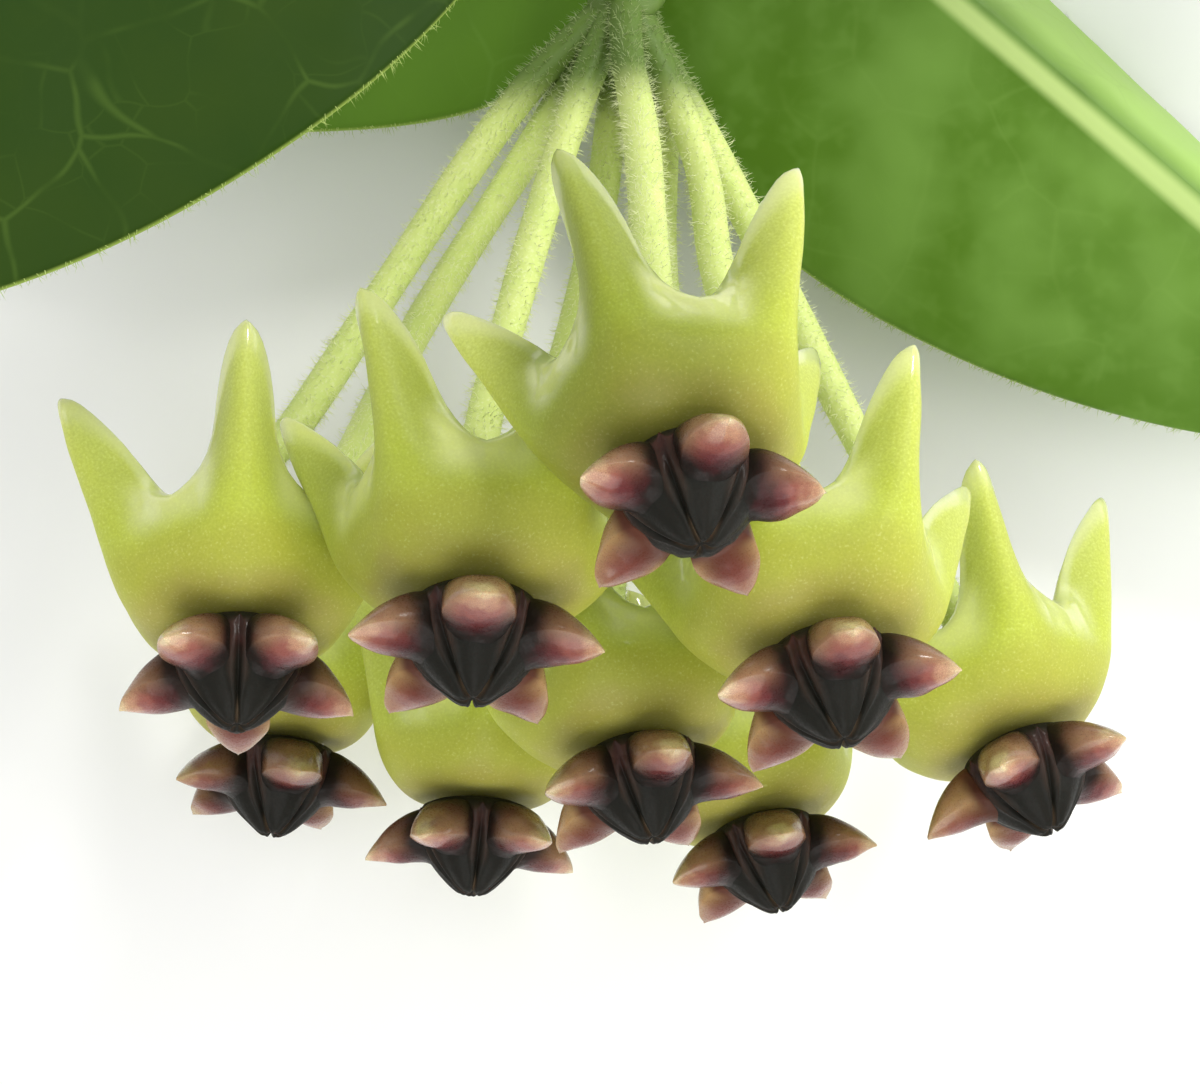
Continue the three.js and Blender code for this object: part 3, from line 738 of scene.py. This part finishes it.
def midrib(leaf, along):
    """Places on a leaf's midrib, and the directions to its left and up from it."""
    base, bend, tip = (np.array(point, float) for point in (leaf.base, leaf.bend, leaf.tip))
    along = np.asarray(along, float)[..., None]
    point = (1 - along) ** 2 * base + 2 * along * (1 - along) * bend + along ** 2 * tip
    tangent = unit((1 - along) * (bend - base) + along * (tip - bend))
    left = unit(np.cross((0, 0, 1.0), tangent))
    return point, left, np.cross(tangent, left)


def blade_section(fraction, angles):
    """How far out and down a half of the blade is at a fraction of its width, and its slope there."""
    start = math.radians(angles[0])
    turn = math.radians(angles[1] - angles[0])
    slope = start + turn * fraction
    return (np.sin(slope) - math.sin(start)) / turn, (math.cos(start) - np.cos(slope)) / turn, slope


def leaf_width(leaf, along):
    widest = leaf.fullness / (leaf.fullness + LEAF_POINT)
    profile = lambda s: s ** leaf.fullness * (1 - s) ** LEAF_POINT
    return leaf.half_width * profile(along) / profile(widest)


def vein_phase(along, across):
    """Whole at a side vein, and half between two of them."""
    return SIDE_VEINS * along - VEIN_LEAN * np.abs(across) + VEIN_SHIFT * np.sign(across)


def blade_points(leaf, along, across, side):
    """Places on a blade. Across runs from -1 to 1 at the margins, and side is 1 on top and -1 below."""
    point, left, up = midrib(leaf, along)
    width = leaf_width(leaf, along)
    aside, sign = np.abs(across), np.sign(across)
    sections = [blade_section(aside, angles) for angles in (leaf.left, leaf.right)]
    out, down, slope = (np.where(across > 0, a, b) for a, b in zip(*sections))
    wave = LEAF_WAVE * across ** 2 * np.sin(17 * along + 2 * sign)
    edge = np.clip((aside - 1 + MARGIN_ROUNDING) / MARGIN_ROUNDING, 0, 1)
    half = lerp(LEAF_THICKNESS, MARGIN_THICKNESS, across ** 2) / 2 * np.sqrt(1 - edge ** 2)
    away = width * aside
    if side < 0:
        half = half + KEEL * (1 - 0.8 * along) * bell(away, 0, KEEL_WIDTH)
    else:
        half = half + RIB * (1 - 0.7 * along) * bell(away, 0, RIB_WIDTH)
        half = half - GROOVE * bell(away, GROOVE_AT, GROOVE_WIDTH)
    quilt = QUILT * np.cos(2 * math.pi * vein_phase(along, across))
    quilt = quilt * smoothstep(aside, *QUILT_FADES) * smoothstep(1 - aside, *QUILT_FADES)
    half = half - side * quilt
    sideways = sign * (width * out + side * half * np.sin(slope))
    upward = wave - width * down + side * half * np.cos(slope)
    return point + left * sideways[..., None] + up * upward[..., None]


def leaf_columns():
    """Places across a blade from margin to margin, close together where the margin is rounded."""
    inner = np.linspace(0, 1 - MARGIN_ROUNDING, LEAF_HALF_COLUMNS)
    round_share = np.sin(math.pi / 2 * np.linspace(0, 1, LEAF_EDGE_COLUMNS)[1:])
    half = np.concatenate([inner, 1 - MARGIN_ROUNDING + MARGIN_ROUNDING * round_share])
    return np.concatenate([-half[:0:-1], half])


def leaf(name, material):
    shape = LEAVES[name]
    even = np.linspace(0, 1, LEAF_STATIONS + 2)[1:-1]
    along = lerp(0.5 - 0.5 * np.cos(math.pi * even), even, 0.35)[:, None]
    across = leaf_columns()
    sheets = [np.broadcast_arrays(along, across[::-1]), np.broadcast_arrays(along, across[1:-1])]
    skins = [blade_points(shape, *sheet, side) for sheet, side in zip(sheets, (1, -1))]
    rings = np.concatenate(skins, axis=1)
    along, across = (np.concatenate(parts, axis=1) for parts in zip(*sheets))
    first, inside, last = (midrib(shape, place)[0] for place in (0.0, 0.06, 1.0))
    surface = Surface("across", "away")
    surface.add(*loft(rings, first, last), across=with_ends(across, rings),
                away=with_ends(across * leaf_width(shape, along), rings))

    # The leaf's stalk starts inside its joint and ends inside the blade.
    joint = min(JOINTS, key=lambda place: math.dist(place, shape.petiole[0]))
    rooted = lerp(np.array(joint), np.array(shape.petiole[0]), 0.45)
    line = smooth_line([rooted, *shape.petiole, first, inside], PETIOLE_STEPS)
    share = np.linspace(0, 1, len(line))
    thicker = 0.2 * (1 - smoothstep(share, 0.1, 0.35))
    radii = PETIOLE_RADIUS * (1 + thicker - 0.12 * smoothstep(share, 0.6, 1))
    surface.add(*tube(line, radii, PETIOLE_SIDES))
    return surface.object(f"{name}_blade", material)


def leaf_hairs(material):
    """Short hairs along the leaves' margins."""
    random = np.random.default_rng(LEAF_HAIR_SEED)
    surface = Surface()
    top, sink, count = 1, 0.05, LEAF_HAIRS
    for shape in LEAVES.values():
        along = random.uniform(0.03, 0.97, count)
        across = np.where(random.uniform(size=count) < 0.5, -1.0, 1.0) * random.uniform(0.985, 0.999, count)
        root = blade_points(shape, along, across, top)
        outward = unit(root - blade_points(shape, along, across * 0.93, top))
        lean = unit(outward + random.normal(0, 0.4, (count, 3)) + (0, 0, 0.1))
        bristles(surface, root - outward * sink, lean, np.broadcast_to((0.1, 0.2, 1.0), root.shape),
                 random.uniform(*LEAF_HAIR_LENGTHS, count), random)
    return surface.object("leaf_hairs", material)


# The stem.

def stem(material):
    surface = Surface("end", "joint")
    line = smooth_line(STEM_POINTS, STEM_STEPS)
    along = np.linspace(0, 1, len(line))[:, None]
    angle = round_angles(STEM_SIDES)
    swelling = sum(bell(np.linalg.norm(line - joint, axis=1), 0, 1.6) for joint in JOINTS)
    ribs = 0.025 * np.sin(5 * angle + 6 * along) + 0.015 * np.sin(13 * angle - 3 * along)
    rings = tube_rings(line, STEM_RADIUS * (0.97 + 0.18 * swelling[:, None] + ribs), STEM_SIDES)
    start_caps = [line[0] + (rings[0] - line[0]) * share for share in (0.4, 0.8)]
    end_caps = [line[-1] + (rings[-1] - line[-1]) * share for share in (0.8, 0.4)]
    rings = np.concatenate([start_caps, rings, end_caps])
    cut = np.pad(np.zeros(len(line)), 2, constant_values=1)
    points, faces = loft(rings, line[0], line[-1])
    surface.add(points, faces, end=with_ends(cut[:, None], rings, 1.0, 1.0),
                joint=with_ends(np.pad(swelling, 2)[:, None], rings))
    for center, seed in zip(JOINTS, (31, 32)):
        surface.add(*knobbly_ball(center, JOINT_RADIUS, seed, 0.05), joint=1.0)
    return surface.object("stem_skin", material)


# The nodes of the finishes.

def srgb(red, green, blue):
    """A colour given as it shows on a screen, 0 to 255."""
    linear = [c / 255 / 12.92 if c <= 10 else ((c / 255 + 0.055) / 1.055) ** 2.4 for c in (red, green, blue)]
    return (*linear, 1.0)


class Nodes:
    """A node tree in the making."""

    def __init__(self, tree):
        self.tree = tree

    def feed(self, socket, value):
        """Links a socket to another one, or gives it a plain value."""
        if isinstance(value, bpy.types.NodeSocket):
            self.tree.links.new(value, socket)
        else:
            socket.default_value = value

    def add(self, kind, inputs=None, **settings):
        made = self.tree.nodes.new(f"ShaderNode{kind}")
        for key, value in settings.items():
            setattr(made, key, value)
        for key, value in (inputs or {}).items():
            self.feed(made.inputs[key], value)
        return made

    def place(self):
        return self.add("TexCoord").outputs["Object"]

    def maths(self, operation, *values):
        return self.add("Math", dict(enumerate(values)), operation=operation).outputs[0]

    def times(self, *values):
        """The product of two or more values."""
        product = values[0]
        for value in values[1:]:
            product = self.maths("MULTIPLY", product, value)
        return product

    def between(self, value, low, high, start=0.0, end=1.0):
        """Goes smoothly from start to end as a value goes from low to high."""
        inputs = {"Value": value, "From Min": low, "From Max": high, "To Min": start, "To Max": end}
        return self.add("MapRange", inputs, interpolation_type="SMOOTHSTEP").outputs["Result"]


class Effect(Nodes):
    """A shader node group with named inputs and outputs, built once and placed in many finishes."""

    def __init__(self, name, inputs, outputs):
        super().__init__(bpy.data.node_groups.new(name, "ShaderNodeTree"))
        for label, default in inputs.items():
            socket = self.tree.interface.new_socket(label, in_out="INPUT", socket_type="NodeSocketFloat")
            socket.default_value = default
        for label in outputs:
            self.tree.interface.new_socket(label, in_out="OUTPUT", socket_type="NodeSocketFloat")
        self.given = self.tree.nodes.new("NodeGroupInput").outputs
        self.wanted = self.tree.nodes.new("NodeGroupOutput").inputs

    def texture(self, kind, size, inputs, **settings):
        """A texture whose features have the size, in millimetres, that an input gives."""
        scale = self.maths("DIVIDE", 1 / MM, self.given[size])
        return self.add(kind, {"Vector": self.place(), "Scale": scale, **inputs}, **settings).outputs


def mottle_effect():
    """Broad and fine clouds of tone."""
    mottle = Effect("Mottle", {"Broad": 3.0, "Fine": 0.4}, ("Cloud", "Grain"))
    for size, output, detail in (("Broad", "Cloud", 2.0), ("Fine", "Grain", 1.0)):
        noise = mottle.texture("TexNoise", size, {"Detail": detail, "Roughness": 0.55})
        mottle.feed(mottle.wanted[output], noise["Fac"])
    return mottle.tree


def speckle_effect():
    """Small scattered dots of a given size and share."""
    speckle = Effect("Speckle", {"Size": 0.1, "Share": 0.3}, ["Dots"])
    cells = speckle.texture("TexVoronoi", "Size", {"Randomness": 1.0}, feature="F1")
    reach = speckle.times(speckle.given["Share"], 0.8)
    speckle.feed(speckle.wanted["Dots"], speckle.between(cells["Distance"], 0.0, reach, 1.0, 0.0))
    return speckle.tree


def skin_effect():
    """A net of tiny cells, as a waxy skin has, and its relief: soft swells with finer ones on them."""
    skin = Effect("Skin", {"Cell": 0.1, "Swell": 1.5}, ("Cells", "Relief"))
    edges = skin.texture("TexVoronoi", "Cell", {}, feature="DISTANCE_TO_EDGE")
    skin.feed(skin.wanted["Cells"], skin.between(edges["Distance"], 0.0, 0.22))
    swell = skin.texture("TexNoise", "Swell", {"Detail": 2.0, "Roughness": 0.5})
    skin.feed(skin.wanted["Relief"], swell["Fac"])
    return skin.tree


EFFECTS = {"Mottle": mottle_effect(), "Speckle": speckle_effect(), "Skin": skin_effect()}


class Finish(Nodes):
    """A material in the making, with plain values on its shader and the colour laid on it so far."""

    def __init__(self, name, settings):
        self.material = bpy.data.materials.new(name)
        self.material.use_nodes = True
        super().__init__(self.material.node_tree)
        self.shader = self.tree.nodes["Principled BSDF"].inputs
        self.color = None
        for key, value in settings.items():
            self.shader[key].default_value = value

    def measure(self, name):
        return self.add("Attribute", attribute_name=name, attribute_type="GEOMETRY").outputs["Fac"]

    def effect(self, name, **values):
        """One of the shared effects, placed here with its own values."""
        made = self.tree.nodes.new("ShaderNodeGroup")
        made.node_tree = EFFECTS[name]
        for key, value in values.items():
            made.inputs[key].default_value = value
        return made.outputs

    def mottle(self, broad, fine):
        clouds = self.effect("Mottle", Broad=broad, Fine=fine)
        return clouds["Cloud"], clouds["Grain"]

    def ramp(self, value, stops):
        made = self.add("ValToRGB", {"Fac": value})
        made.color_ramp.interpolation = "EASE"
        elements = made.color_ramp.elements
        elements[0].position, elements[1].position = stops[0][0], stops[-1][0]
        elements[0].color, elements[1].color = srgb(*stops[0][1]), srgb(*stops[-1][1])
        for position, color in stops[1:-1]:
            elements.new(position).color = srgb(*color)
        return made.outputs["Color"]

    def mixed(self, share, first, second, mode="MIX"):
        """Two colours mixed by a share from 0 to 1."""
        made = self.add("Mix", data_type="RGBA", blend_type=mode)
        self.feed(made.inputs[0], share)
        for socket, color in ((made.inputs[6], first), (made.inputs[7], second)):
            self.feed(socket, srgb(*color) if isinstance(color, tuple) else color)
        return made.outputs[2]

    def lay(self, share, color, mode="MIX"):
        """Lays a colour over what is there, by a share from 0 to 1."""
        self.color = self.mixed(share, self.color, color, mode)

    def done(self, roughness, height, strength, depth):
        """Feeds the shader its colour, its roughness and a bump of the given depth in millimetres."""
        bump = self.add("Bump", {"Height": height, "Strength": strength, "Distance": depth * MM})
        self.feed(self.shader["Base Color"], self.color)
        self.feed(self.shader["Roughness"], roughness)
        self.feed(self.shader["Normal"], bump.outputs["Normal"])
        return self.material


# The finishes. Colours are given as they show on a screen.

# A petal's tones from its face to its horns' tips, and a claw's from its root to its tip.
# At the face, next to the crown, the petal is darker and browner: partly its own blush, partly painted
# shade.
PETAL_TONES = [
    (0.0, (180, 172, 84)), (0.12, (184, 187, 76)), (0.3, (197, 208, 86)), (0.55, (197, 207, 100)),
    (0.93, (204, 214, 120)), (1.0, (228, 230, 168)),
]
CLAW_FRONT_TONES = [
    (0.0, (24, 23, 17)), (0.24, (32, 24, 20)), (0.38, (60, 27, 28)), (0.53, (98, 43, 44)),
    (0.69, (146, 83, 73)), (0.84, (196, 150, 118)), (1.0, (232, 214, 168)),
]
CLAW_FLANK_TONES = [
    (0.0, (24, 23, 17)), (0.22, (34, 26, 21)), (0.5, (74, 42, 38)), (0.74, (132, 98, 76)),
    (1.0, (214, 198, 150)),
]


def petal_finish():
    """Thick waxy yellow-green petals, paler at the horns' tips, painted paler with light at the notches and
    margins, painted with shade on each flower's left side, and wet in places.
    """
    petal = Finish("waxy petal", {
        "Subsurface Weight": 0.6, "Subsurface Radius": (1.0, 0.95, 0.25), "Subsurface Scale": 2.0 * MM,
        "Coat Roughness": 0.09, "Coat IOR": 1.8, "Specular IOR Level": 0.22,
    })
    depth, edge = petal.measure("depth"), petal.measure("edge")
    cloud, grain = petal.mottle(2.6, 0.1)
    shifted = petal.maths("ADD", depth, petal.between(cloud, 0.3, 0.7, -0.025, 0.025))
    petal.color = petal.ramp(shifted, PETAL_TONES)
    petal.lay(petal.between(grain, 0.35, 0.7, 0.0, 0.24), (150, 158, 48))
    petal.lay(petal.between(grain, 0.26, 0.38, 0.3, 0.0), (220, 228, 150))
    # Painted light: a pale band along the margins, for light shining through the thin edges.
    petal.lay(petal.between(edge, 0.1, 0.9, 0.0, 0.6), (230, 238, 170))
    # Painted shade on each flower's left side.
    petal.lay(petal.measure("olive"), (191, 197, 180), "MULTIPLY")
    near_notch = petal.times(petal.between(depth, 0.2, 0.36), petal.between(depth, 0.45, 0.6, 1.0, 0.0),
                             petal.between(petal.measure("lobe"), 0.3, 0.75, 1.0, 0.0))
    # Painted light: near the notches the petals are painted paler, for the bright band along the sinus rims.
    petal.lay(petal.times(near_notch, 0.5), (234, 240, 168))
    wet = petal.times(near_notch, petal.between(cloud, 0.32, 0.5))
    wet = petal.maths("MAXIMUM", wet, petal.between(edge, 0.2, 0.7, 0.0, 0.8))
    petal.feed(petal.shader["Coat Weight"], wet)
    relief = petal.effect("Skin", Swell=0.9)["Relief"]
    return petal.done(petal.between(cloud, 0.3, 0.7, 0.42, 0.55), relief, 0.5, 0.07)


def crown_finish():
    """The glossy crown: near-black in its middle, through maroon and pink to cream at the tips."""
    crown = Finish("glossy crown", {
        "Subsurface Weight": 0.2, "Subsurface Radius": (1.0, 0.35, 0.25), "Subsurface Scale": 0.6 * MM,
        "Coat Roughness": 0.13, "Specular IOR Level": 0.15,
    })
    reach, rim, low = crown.measure("reach"), crown.measure("rim"), crown.measure("low")
    cloud, grain = crown.mottle(0.9, 0.09)
    shifted = crown.maths("ADD", reach, crown.between(cloud, 0.3, 0.7, -0.05, 0.05))
    crown.color = crown.ramp(shifted, CLAW_FLANK_TONES)
    crown.lay(crown.measure("front"), crown.ramp(shifted, CLAW_FRONT_TONES))
    crown.lay(crown.times(rim, crown.between(reach, 0.25, 0.6, 0.0, 0.35)), (206, 166, 122))

    # The lower claws are painted browner, with a pale rim, for light shining through them from below; the
    # slits and their lips are paler; and the upper claws of some crowns are darker with painted shade.
    crown.lay(crown.times(low, 0.66), (108, 60, 42))
    # Painted light shining through the rims of the lower claws.
    crown.lay(crown.times(low, rim, crown.between(reach, 0.2, 0.4), 0.7), (190, 158, 104))
    crown.lay(crown.times(crown.measure("lip"), 0.3), (78, 58, 46))
    crown.lay(crown.times(crown.measure("slit"), 0.5), (150, 126, 100))
    # Painted shade on the upper claws of the crowns that sit in their neighbours' shade.
    crown.lay(crown.measure("shade"), (196, 192, 170), "MULTIPLY")

    # A net of cells and dark dots, both stronger towards the tips.
    skin = crown.effect("Skin", Cell=0.1, Swell=0.34)
    gaps = crown.maths("SUBTRACT", 1.0, skin["Cells"])
    crown.lay(crown.times(gaps, crown.between(reach, 0.3, 0.8, 0.0, 0.3)), (120, 60, 60))
    dots = crown.effect("Speckle", Size=0.1, Share=0.5)["Dots"]
    crown.lay(crown.times(dots, crown.between(reach, 0.1, 0.5, 0.0, 0.45)), (78, 32, 34))
    crown.feed(crown.shader["Coat Weight"], crown.between(reach, 0.42, 0.8, 0.03, 0.65))
    rough = crown.maths("ADD", crown.between(grain, 0.3, 0.7, 0.0, 0.14),
                        crown.between(reach, 0.05, 0.4, 0.5, 0.24))
    return crown.done(rough, skin["Relief"], 0.6, 0.06)


def stalk_finish():
    """Pale green stalks, which turn deep green at the head's root, in the leaves' painted shadow."""
    stalk = Finish("stalk skin", {"Specular IOR Level": 0.3})
    cloud, grain = stalk.mottle(1.6, 0.12)
    stalk.color = stalk.mixed(stalk.between(cloud, 0.3, 0.7, 0.0, 0.35), (223, 236, 146), (194, 218, 114))
    stalk.lay(stalk.between(grain, 0.5, 0.75, 0.0, 0.5), (242, 248, 196))
    # Painted shadow of the leaves, deep green towards the head's root.
    stalk.lay(stalk.times(stalk.measure("shade"), 0.92), (80, 112, 38))
    relief = stalk.effect("Skin", Swell=0.4)["Relief"]
    return stalk.done(stalk.between(grain, 0.3, 0.7, 0.42, 0.6), relief, 0.5, 0.06)


def hair_finish(name, dark, light):
    """Clear fine hairs, greener where they grow on the deep green of the leaves' painted shadow."""
    hair = Finish(name, {"Specular IOR Level": 0.4})
    cloud, grain = hair.mottle(2.0, 0.2)
    hair.color = hair.mixed(cloud, dark, light)
    # Painted shadow of the leaves on the hairs.
    hair.lay(hair.times(hair.measure("shade"), 0.7), (120, 150, 70))
    return hair.done(hair.between(grain, 0.3, 0.7, 0.3, 0.45), grain, 0.1, 0.01)


def leaf_finish(name, dark, light, rib, vein, vein_share, left_half_tint_and_light):
    """A leathery leaf with a pale midrib and a soft sparse net of veins, which fade in and out."""
    blade = Finish(name, {"Specular IOR Level": 0.1})
    across, away = blade.measure("across"), blade.measure("away")
    cloud, grain = blade.mottle(6.0, 0.9)
    blade.color = blade.mixed(blade.between(cloud, 0.35, 0.65), dark, light)
    blade.lay(blade.between(grain, 0.42, 0.75, 0.0, 0.35), light)
    # The left half's own colour: a tint on most leaves, painted light on the right leaf.
    blade.lay(blade.between(across, 0.0, 0.3, 0.0, 0.85), left_half_tint_and_light)

    # The veins follow the edges of large cells, bent by a slow warp. Size, width and strength of each net.
    place = blade.place()
    warp = blade.add("TexNoise", {"Vector": place, "Scale": 0.3 / MM, "Detail": 1.0}).outputs["Color"]
    shift = {0: warp, 1: (1.3 * MM,) * 3, 2: place}
    bent = blade.add("VectorMath", shift, operation="MULTIPLY_ADD").outputs[0]
    veins = 0.0
    for size, width, share in ((5.0, 0.032, 1.0), (2.1, 0.03, 0.35)):
        inputs = {"Vector": bent, "Scale": 1 / (size * MM)}
        edges = blade.add("TexVoronoi", inputs, feature="DISTANCE_TO_EDGE").outputs["Distance"]
        veins = blade.maths("MAXIMUM", veins, blade.between(edges, 0.0, width, share, 0.0))
    fading = blade.between(blade.mottle(3.2, 0.3)[0], 0.38, 0.6, 0.1, 1.0)
    blade.lay(blade.times(veins, fading, vein_share), vein)
    blade.lay(blade.between(blade.maths("ABSOLUTE", away), 0.12, 0.5, 0.8, 0.0), rib)
    blade.lay(blade.between(blade.maths("ABSOLUTE", across), 0.982, 1.0, 0.0, 0.8), (172, 198, 92))
    relief = blade.effect("Skin", Swell=1.4)["Relief"]
    return blade.done(blade.between(cloud, 0.3, 0.7, 0.42, 0.56), relief, 0.4, 0.1)


def stem_finish():
    """The green stem, browner at its joints and pale at its cut ends."""
    bark = Finish("stem skin", {"Specular IOR Level": 0.4})
    cloud, grain = bark.mottle(2.5, 0.25)
    bark.color = bark.mixed(bark.between(cloud, 0.3, 0.7), (96, 124, 52), (132, 150, 74))
    bark.lay(bark.between(grain, 0.5, 0.7, 0.0, 0.5), (150, 140, 92))
    bark.lay(bark.times(bark.measure("joint"), 0.45), (120, 104, 62))
    bark.lay(bark.measure("end"), (206, 214, 160))
    relief = bark.effect("Skin", Swell=0.8)["Relief"]
    return bark.done(bark.between(grain, 0.3, 0.7, 0.5, 0.7), relief, 0.6, 0.12)


# Each leaf's finish: name, dark and light green, rib, veins and how strong they are, and its left half.
# How light or dark each leaf is, is mostly painted light and shade: the left front leaf is painted dark
# for its shade, and the right leaf's left half is painted bright for the light on it.
LEAF_FINISHES = {
    "leaf_left_front": ("dark leaf", (28, 57, 14), (52, 73, 12), (92, 124, 50), (90, 118, 46), 0.25,
                        (40, 64, 13)),
    "leaf_left_back": ("back leaf", (84, 124, 35), (106, 148, 50), (136, 174, 80), (126, 166, 74), 0.15,
                       (95, 135, 42)),
    "leaf_right": ("right leaf", (84, 122, 32), (108, 146, 60), (190, 212, 132), (124, 160, 74), 0.12,
                   (178, 216, 112)),
    "leaf_right_upper": ("upper leaf", (74, 112, 34), (98, 138, 50), (160, 190, 110), (128, 162, 80), 0.3,
                         (88, 126, 40)),
}


# The scene.

def camera():
    data = bpy.data.cameras.new("camera")
    data.lens = LENS
    data.sensor_width = SENSOR
    data.clip_start = NEAREST_SEEN * MM
    made = linked("camera", data)
    made.location = (-MIDDLE[0] * MM, -MIDDLE[1] * MM, CAMERA_HEIGHT * MM)
    bpy.context.scene.camera = made


def floor():
    half = FLOOR_HALF * MM
    mesh = bpy.data.meshes.new("floor")
    corners = [(-half, -half, 0), (half, -half, 0), (half, half, 0), (-half, half, 0)]
    mesh.from_pydata(corners, [], [(0, 1, 2, 3)])
    pale = Finish("pale floor", {"Roughness": 0.8})
    cloud = pale.mottle(60.0, 6.0)[0]
    pale.feed(pale.shader["Base Color"], pale.mixed(cloud, (246, 246, 245), (248, 248, 247)))
    mesh.materials.append(pale.material)
    made = linked("floor", mesh)


def studio():
    floor()
    for name, (at, size, energy, color) in LIGHTS.items():
        light = bpy.data.lights.new(name, "AREA")
        light.shape = "DISK"
        light.size = size * MM
        light.energy = energy
        light.color = color
        made = linked(name, light)
        made.location = Vector(at) * MM
        made.rotation_euler = (Vector(LIT_POINT) - Vector(at)).to_track_quat("-Z", "Y").to_euler()
    world = bpy.data.worlds.new("pale room")
    world.use_nodes = True
    background = world.node_tree.nodes["Background"].inputs
    background["Color"].default_value = (1, 1, 1, 1)
    background["Strength"].default_value = ROOM_LIGHT
    bpy.context.scene.world = world
    bpy.context.scene.view_settings.view_transform = "Standard"


def dress(piece, slot, *nodes):
    """Says which body a piece moves with and which solids it stands for. Its slot is not used."""
    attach(piece, "root")
    if nodes:
        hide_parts(*nodes)


camera()
studio()

petal, glossy = petal_finish(), crown_finish()
for index in range(len(FLOWERS)):
    dress(corolla(index, petal), "corolla", f"corolla_{index + 1}")
    dress(crown(index, glossy), "crown", f"crown_{index + 1}")
dress(stalks(stalk_finish()), "stalk", "flower_stalks")
for hairs in stalk_hairs(hair_finish("stalk hair", (236, 244, 170), (248, 252, 214))):
    dress(hairs, "stalk")
for name, values in LEAF_FINISHES.items():
    dress(leaf(name, leaf_finish(*values)), "leaf", name)
dress(leaf_hairs(hair_finish("margin hair", (168, 194, 92), (196, 214, 130))), "leaf")
dress(stem(stem_finish()), "stem", "stem")

bpy.context.view_layer.update()
